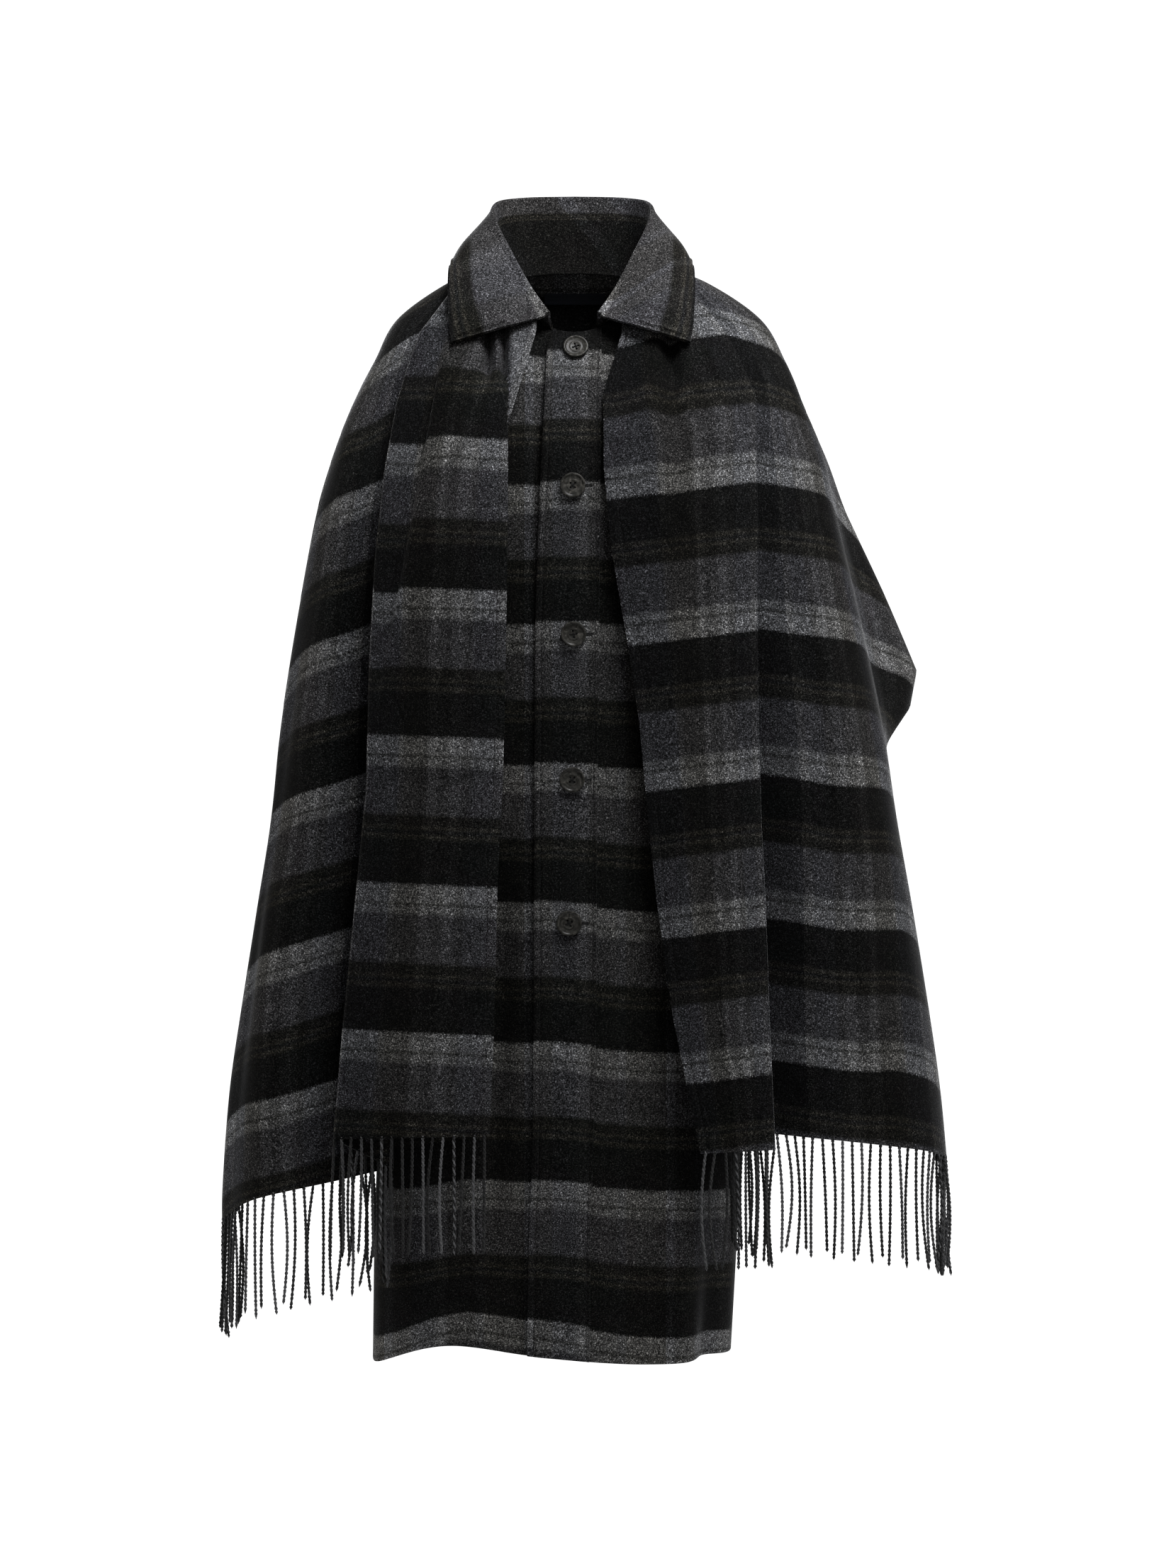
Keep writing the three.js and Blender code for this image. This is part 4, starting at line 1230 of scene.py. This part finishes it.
def fringe(name, side, node, seed):
    """Two-ply cords along the hem, each a little crooked and with a tone of its own."""
    draw = np.random.default_rng(seed)
    fine = np.linspace(0, 1, 600)
    hem, _ = end_point(side, np.ones(600), fine)
    lengths = np.concatenate([[0], np.linalg.norm(np.diff(hem, axis=0), axis=1).cumsum()])
    bm = bmesh.new()
    for _ in range(side["strands"] * PLIES):
        bmesh.ops.create_grid(bm, x_segments=PLY_SIDES, y_segments=PLY_STEPS, size=0.5)
    mesh = mesh_from(name, bm)
    co = vertex_places(mesh).reshape(side["strands"], PLIES, -1, 3)
    points = np.empty_like(co)
    tones = np.empty(co.shape[:3])
    for k in range(side["strands"]):
        want = (k + 0.5) / side["strands"] * lengths[-1]
        root = np.array([np.interp(want, lengths, hem[:, axis]) for axis in range(3)])
        edge_share = k / side["strands"]
        bunched = smooth((edge_share - 0.72) / 0.2)
        pull = FRINGE["pull"] * np.sin(k * 0.85) * (0.35 + bunched) * -np.cos(k * 0.35)
        lean = np.array([3 * np.sin(k * 2.4) + side["sign"] + pull, -1 - np.sin(k * 1.7)])
        bow = draw.normal(0, 2.6, 2)
        length = FRINGE["length"] + 4 * np.sin(k * 3.1)
        phase = draw.uniform(0, 2 * np.pi)
        tone = draw.uniform(0.1, 1.0)
        plied = 0.45 if k % 7 == 3 else 0.08
        for ply in range(PLIES):
            down = 0.5 - co[k, ply, :, 1]
            turn = 2 * np.pi * (co[k, ply, :, 0] + 0.5)
            fallen = down * (length + FRINGE["into"]) - FRINGE["into"]
            twist = phase + np.pi * ply * 2 / PLIES + 2 * np.pi * fallen / FRINGE["lay"]
            taper = np.clip((1 - down) / 0.025, 0, 1) ** 0.5
            radius = FRINGE["cord"] * taper
            helix = FRINGE["helix"] * (0.35 + 0.65 * taper)
            wave = np.sin(np.pi * down)
            x = root[0] + lean[0] * down**2 + bow[0] * wave + helix * np.cos(twist)
            y = root[1] + lean[1] * down**2 + bow[1] * wave * 0.6 + helix * np.sin(twist)
            x, y = x + radius * np.cos(turn), y + radius * np.sin(turn)
            points[k, ply] = np.stack([x, y, root[2] - fallen], -1)
            tones[k, ply] = np.clip(tone + (plied if ply else -plied), 0, 1)
    move_vertices(mesh, points)
    tone_layer = mesh.attributes.new("tone", "FLOAT", "POINT")
    tone_layer.data.foreach_set("value", tones.astype(np.float32).ravel())
    bm = bmesh.new()
    bm.from_mesh(mesh)
    bmesh.ops.remove_doubles(bm, verts=bm.verts, dist=0.02 * MM)
    bmesh.ops.holes_fill(bm, edges=bm.edges, sides=PLY_SIDES + 1)
    bmesh.ops.recalc_face_normals(bm, faces=bm.faces)
    bm.to_mesh(mesh)
    bm.free()
    smooth_faces(mesh)
    return finish_piece(add_piece(name, mesh), FRINGE_WOOL, "fringe_wool", node)


# Buttons


def button_seat(x, z):
    """Where a button sits on the placket: its place, and the placket's outward direction there."""
    level = level_at(BODY, np.array([float(z)]), "front")
    angle = front_angle(level, x)
    place = body_point(level, angle, PLACKET_OUT + PLACKET_WALL + BUTTON["clear"])[0]
    return Vector(place * MM), Vector(outward(body_base, level, angle)[0])


BUTTON_PROFILE = (
    # distance from the middle, height
    (0.0, 0.0), (10.6, 0.0), (12.0, 0.5), (12.6, 1.6), (12.6, 2.9), (12.2, 3.7), (11.5, 4.0),
    (10.8, 3.9), (10.2, 3.5), (9.8, 3.1), (9.0, 2.85), (7.0, 2.75), (6.4, 2.7), (5.9, 2.95), (5.2, 3.05),
    (4.5, 2.8), (3.6, 2.62), (0.0, 2.6),
)
BUTTON_STEPS = 56
HOLE_SIDES = 16
HOLE_RING = 3.125
BUTTON_THREAD = dict(apart=0.35, height=2.95, crossing=0.2, size=(2.9, 0.26, 0.3))


def stretch(size):
    return Matrix.Diagonal([part * MM for part in size] + [1])


def button(i, x, z, turn):
    bm = bmesh.new()
    ring = [bm.verts.new((r * MM, 0, h * MM)) for r, h in BUTTON_PROFILE]
    edges = [bm.edges.new(pair) for pair in zip(ring, ring[1:])]
    bmesh.ops.spin(
        bm, geom=ring + edges, axis=(0, 0, 1), cent=(0, 0, 0), steps=BUTTON_STEPS,
        angle=2 * np.pi, use_merge=True,
    )
    bmesh.ops.remove_doubles(bm, verts=bm.verts, dist=0.01 * MM)
    bmesh.ops.recalc_face_normals(bm, faces=bm.faces)
    name = f"horn_button_{i}"
    piece = add_piece(name, mesh_from(name, bm))
    bm = bmesh.new()
    for k in range(4):
        a = np.radians(turn + 90 * k)
        centre = Vector((np.cos(a), np.sin(a), 0)) * HOLE_RING * MM + Vector((0, 0, 2 * MM))
        bmesh.ops.create_cone(
            bm, cap_ends=True, segments=HOLE_SIDES, radius1=BUTTON["hole"] * MM,
            radius2=BUTTON["hole"] * MM, depth=8 * MM, matrix=Matrix.Translation(centre),
        )
    drill = add_piece("drill", mesh_from("drill", bm))
    holes = piece.modifiers.new("holes", "BOOLEAN")
    holes.operation = "DIFFERENCE"
    holes.object = drill
    bpy.context.view_layer.update()
    cut = bpy.data.meshes.new_from_object(piece.evaluated_get(bpy.context.evaluated_depsgraph_get()))
    piece.modifiers.clear()
    piece.data = cut
    cut.name = name
    bpy.data.objects.remove(drill)
    seat, normal = button_seat(x, z)
    turned = Matrix.Translation(seat) @ normal.to_track_quat("Z", "Y").to_matrix().to_4x4()
    cut.transform(turned)
    smooth_faces(cut)
    cut.set_sharp_from_angle(angle=np.radians(38))
    bm = bmesh.new()
    for k in range(2):
        a = np.radians(turn + 90 * k)
        height = BUTTON_THREAD["height"] + BUTTON_THREAD["crossing"] * k
        for offset in (-BUTTON_THREAD["apart"], BUTTON_THREAD["apart"]):
            bmesh.ops.create_uvsphere(
                bm, u_segments=8, v_segments=6, radius=1.0,
                matrix=Matrix.Translation((0, 0, height * MM))
                @ Matrix.Rotation(a, 4, "Z")
                @ Matrix.Translation((0, offset * MM, 0))
                @ stretch(BUTTON_THREAD["size"]),
            )
    thread = mesh_from(f"button_thread_{i}", bm)
    thread.transform(turned)
    finish_piece(add_piece(f"button_thread_{i}", thread), THREAD, "coat_wool")
    cut.materials.clear()
    return finish_piece(piece, HORN, "button_horn", f"button_{i}")


# Stitching


# Spacing, length and half thickness of each kind of stitch
PLACKET_STITCH = (3.6, 2.9, 0.45)
COLLAR_STITCH = (3.4, 2.9, 0.55)
SCARF_STITCH = (3.8, 3.0, 0.5)


def stitches(name, points, normals, spacing, length, radius):
    """A row of short sunk stitches along a line of points."""
    lengths = np.concatenate([[0], np.linalg.norm(np.diff(points, axis=0), axis=1).cumsum()])
    at = np.arange(spacing / 2, lengths[-1], spacing)
    place = np.stack([np.interp(at, lengths, points[:, k]) for k in range(3)], -1)
    ahead = np.stack([np.interp(at + 1, lengths, points[:, k]) for k in range(3)], -1)
    behind = np.stack([np.interp(at - 1, lengths, points[:, k]) for k in range(3)], -1)
    up = np.stack([np.interp(at, lengths, normals[:, k]) for k in range(3)], -1)
    along = unit(ahead - behind + 1e-9)
    bm = bmesh.new()
    for p, d, n in zip(place, along, up):
        side = np.cross(n, d)
        basis = Matrix((
            (d[0] * length / 2, side[0] * radius, n[0] * radius, p[0]),
            (d[1] * length / 2, side[1] * radius, n[1] * radius, p[1]),
            (d[2] * length / 2, side[2] * radius, n[2] * radius, p[2]),
            (0, 0, 0, 1 / MM),
        )) * MM
        bmesh.ops.create_uvsphere(bm, u_segments=6, v_segments=4, radius=1.0, matrix=basis)
    bmesh.ops.recalc_face_normals(bm, faces=bm.faces)
    mesh = mesh_from(name, bm)
    smooth_faces(mesh)
    return finish_piece(add_piece(name, mesh), THREAD, "coat_wool")


def placket_stitches():
    down = np.linspace(0.004, 0.998, 400)
    level = down * HEM_LEVEL
    turn = np.radians(opening_angle(level, "inner") - opening_angle(level, "edge"))
    wide = turn * column(BODY, "wide", level)
    for name, across in (("edge", STITCH_IN["edge"] / wide), ("inner", 1 - STITCH_IN["inner"] / wide)):
        points, _ = placket_place(down, across, PLACKET_WALL / 2 + 0.1)
        normals = np.tile([0.0, -1.0, 0.0], (len(down), 1))
        stitches(f"placket_stitches_{name}", points, normals, *PLACKET_STITCH)


def collar_stitches(grid):
    """Along the free edge, and along both ends from the edge to the roll."""
    points, out, to_edge = grid["points"], grid["outward"], grid["to_edge"]
    lift = COLLAR_WALL / 2 + 0.15

    def at_distance(row, want):
        columns = slice(None, None, -1)
        share = to_edge[row][columns]
        place = [np.interp(want, share, points[row][columns][:, k]) for k in range(3)]
        normal = unit(np.array([np.interp(want, share, out[row][columns][:, k]) for k in range(3)]))
        return np.array(place) + normal * lift, normal

    ends = []
    for rows in (range(COLLAR_ROWS + 1), range(COLLAR_ROWS, -1, -1)):
        along_end = []
        for want in np.arange(COLLAR_EDGE_STITCH, COLLAR_END_SEAM, 1.5):
            gone = 0.0
            before = at_distance(rows[0], want)
            for row in rows[1:]:
                now = at_distance(row, want)
                gone += np.linalg.norm(now[0] - before[0])
                before = now
                if gone >= COLLAR_EDGE_STITCH:
                    break
            along_end.append((before, row))
        ends.append(along_end)
    first, last = ends[0][0][1], ends[1][0][1]
    line = [at_distance(row, COLLAR_EDGE_STITCH) for row in range(first, last + 1)]
    runs = dict(edge=line, right=[seat for seat, _ in ends[0]], left=[seat for seat, _ in ends[1]])
    for name, run in runs.items():
        where, normals = (np.array(part) for part in zip(*run))
        stitches(f"collar_stitches_{name}", where, normals, *COLLAR_STITCH)


def scarf_stitches(name, side):
    down = np.linspace(0.02, 0.985, 320)
    hem = end_hem(side, np.zeros(len(down)))
    level = level_at(DRAPE, hem) * down
    z = drape_base(level, end_angle(side, level, np.zeros(len(down))) * side["sign"])[:, 2]
    across = PATH_SHARES["fold"] * EDGE_SEAM["inside"] / end_width(side, z)
    points, _ = end_point(side, down, across, SCARF_WALL / 2 + 0.1)
    normals = np.tile([0.0, -1.0, 0.0], (len(down), 1))
    stitches(name, points, normals, *SCARF_STITCH)


BUTTONHOLE = dict(start=8.0, end=17.5, half=1.5, rise=0.5)
SLOT_BEAD = (0.55, 0.45, 0.42)
EDGE_BEAD = (0.34, BUTTONHOLE["rise"], 0.8)
END_BEAD = (0.8, BUTTONHOLE["rise"], 0.34)


def bead(bm, place, size, turn=0.0):
    matrix = Matrix.Translation(Vector(place * MM)) @ Matrix.Rotation(turn, 4, "Y") @ stretch(size)
    bmesh.ops.create_uvsphere(bm, u_segments=6, v_segments=4, radius=1.0, matrix=matrix)


def buttonholes():
    """A worked slot beside each button, on the side towards the wearer's left."""
    worked, slots = bmesh.new(), bmesh.new()
    for x, z in zip(BUTTONS["x"], BUTTONS["z"]):
        for share in np.linspace(0, 1, 15):
            across = x + BUTTONHOLE["start"] + (BUTTONHOLE["end"] - BUTTONHOLE["start"]) * share
            level = level_at(BODY, np.array([float(z)]), "front")
            angle = front_angle(level, across)
            place = body_point(level, angle, PLACKET_OUT + PLACKET_WALL)[0]
            bead(slots, place, SLOT_BEAD)
            for sign in (-1, 1):
                bead(worked, place + np.array([0, 0, sign * BUTTONHOLE["half"] * 0.62]), EDGE_BEAD)
        for turn in np.linspace(-80, 80, 7):
            a = np.radians(turn)
            end = place + np.array([np.cos(a), 0, np.sin(a)]) * BUTTONHOLE["half"] * 0.8
            bead(worked, end, END_BEAD, -a)
    made = (("buttonhole_edges", worked, WORKED_THREAD), ("buttonhole_slots", slots, THREAD))
    for name, bm, material in made:
        mesh = mesh_from(name, bm)
        smooth_faces(mesh)
        finish_piece(add_piece(name, mesh), material, "coat_wool")


# Camera, lights and floor

PIXEL = 0.70 * MM
IMAGE = (1659, 2212)
ORIGIN_PIXEL = (810, 400)
CAMERA_BACK = 6.0
FRONT_PLANE = 0.145
SENSOR = 36.0


def camera():
    data = bpy.data.cameras.new("camera")
    data.sensor_width = SENSOR
    data.lens = SENSOR * (CAMERA_BACK - FRONT_PLANE) / (IMAGE[1] * PIXEL)
    view = bpy.data.objects.new("camera", data)
    x = (IMAGE[0] / 2 - ORIGIN_PIXEL[0]) * PIXEL
    z = (ORIGIN_PIXEL[1] - IMAGE[1] / 2) * PIXEL
    view.location = (x, -CAMERA_BACK, z)
    view.rotation_euler = (np.pi / 2, 0, 0)
    bpy.context.scene.collection.objects.link(view)
    bpy.context.scene.camera = view


MIDDLE = (0, 0, -0.5)
COOL, WHITE = (0.98, 0.99, 1.02), (1, 1, 1)
SOFTBOXES = (
    # name, place, what it faces, size in metres, power, colour
    ("high_box", (0.8, -1.2, 1.9), (0, 0, -0.1), (1.4, 1.0), 175, COOL),
    ("top_box", (0.35, -0.6, 1.1), (0, 0, 0), (0.6, 0.5), 34, COOL),
    ("front_box", (0.2, -3.8, 0.6), MIDDLE, (1.6, 1.8), 26, WHITE),
    ("left_box", (-3.0, 0.35, -0.3), MIDDLE, (1.0, 2.4), 150, WHITE),
    ("right_box", (3.0, 0.35, -0.3), MIDDLE, (1.0, 2.4), 120, WHITE),
    ("back_box", (0.0, 3.2, 1.4), MIDDLE, (1.6, 1.2), 60, WHITE),
)
BACKDROP = dict(seen=1.15, lighting=0.27)
FLOOR = dict(height=-1.48, radius=1.4)


def softbox(name, place, target, size, power, colour):
    data = bpy.data.lights.new(name, "AREA")
    data.color = colour
    data.shape = "RECTANGLE"
    data.size, data.size_y = size
    data.energy = power
    light = bpy.data.objects.new(name, data)
    light.location = place
    light.rotation_euler = (Vector(target) - Vector(place)).to_track_quat("-Z", "Y").to_euler()
    bpy.context.scene.collection.objects.link(light)


def studio():
    world = bpy.data.worlds.new("studio")
    world.use_nodes = True
    tree = world.node_tree
    shown = tree.nodes["Background"]
    shown.inputs["Color"].default_value = (1, 1, 1, 1)
    shown.inputs["Strength"].default_value = BACKDROP["seen"]
    around = tree.nodes.new("ShaderNodeBackground")
    around.inputs["Color"].default_value = (1, 1, 1, 1)
    around.inputs["Strength"].default_value = BACKDROP["lighting"]
    mix = tree.nodes.new("ShaderNodeMixShader")
    tree.links.new(tree.nodes.new("ShaderNodeLightPath").outputs["Is Camera Ray"], mix.inputs[0])
    tree.links.new(around.outputs[0], mix.inputs[1])
    tree.links.new(shown.outputs[0], mix.inputs[2])
    tree.links.new(mix.outputs[0], tree.nodes["World Output"].inputs["Surface"])
    bpy.context.scene.world = world
    bpy.context.scene.view_settings.view_transform = "Standard"
    for box in SOFTBOXES:
        softbox(*box)
    bm = bmesh.new()
    place = Matrix.Translation((0, 0, FLOOR["height"]))
    bmesh.ops.create_circle(bm, cap_ends=True, segments=64, radius=FLOOR["radius"], matrix=place)
    floor = add_piece("floor", mesh_from("floor", bm))
    n = Nodes("pale_floor")
    n.shader.inputs["Base Color"].default_value = (0.75, 0.75, 0.75, 1)
    n.shader.inputs["Roughness"].default_value = 0.9
    floor.data.materials.append(n.material)


camera()
studio()

back = coat_back()
front_right = coat_front("coat_front_right", -1, "front_right")
front_left = coat_front("coat_front_left", 1, "front_left")
band = placket()
sleeve_right = sleeve("coat_sleeve_right", -1, "sleeve_right")
sleeve_left = sleeve("coat_sleeve_left", 1, "sleeve_left")
collar_piece, collar_grid = collar()
tab = neck_tab()
end_right = scarf_end("scarf_over_right_arm", RIGHT, "scarf_end_right")
end_left = scarf_end("scarf_over_left_arm", LEFT, "scarf_end_left")
over_back = scarf_back()
fringe_right = fringe("fringe_right_end", RIGHT, "fringe_right", 7)
fringe_left = fringe("fringe_left_end", LEFT, "fringe_left", 8)
for number, (x, z, turn) in enumerate(zip(*BUTTONS.values()), 1):
    button(number, x, z, turn)
placket_stitches()
collar_stitches(collar_grid)
scarf_stitches("scarf_stitches_right_end", RIGHT)
scarf_stitches("scarf_stitches_left_end", LEFT)
buttonholes()
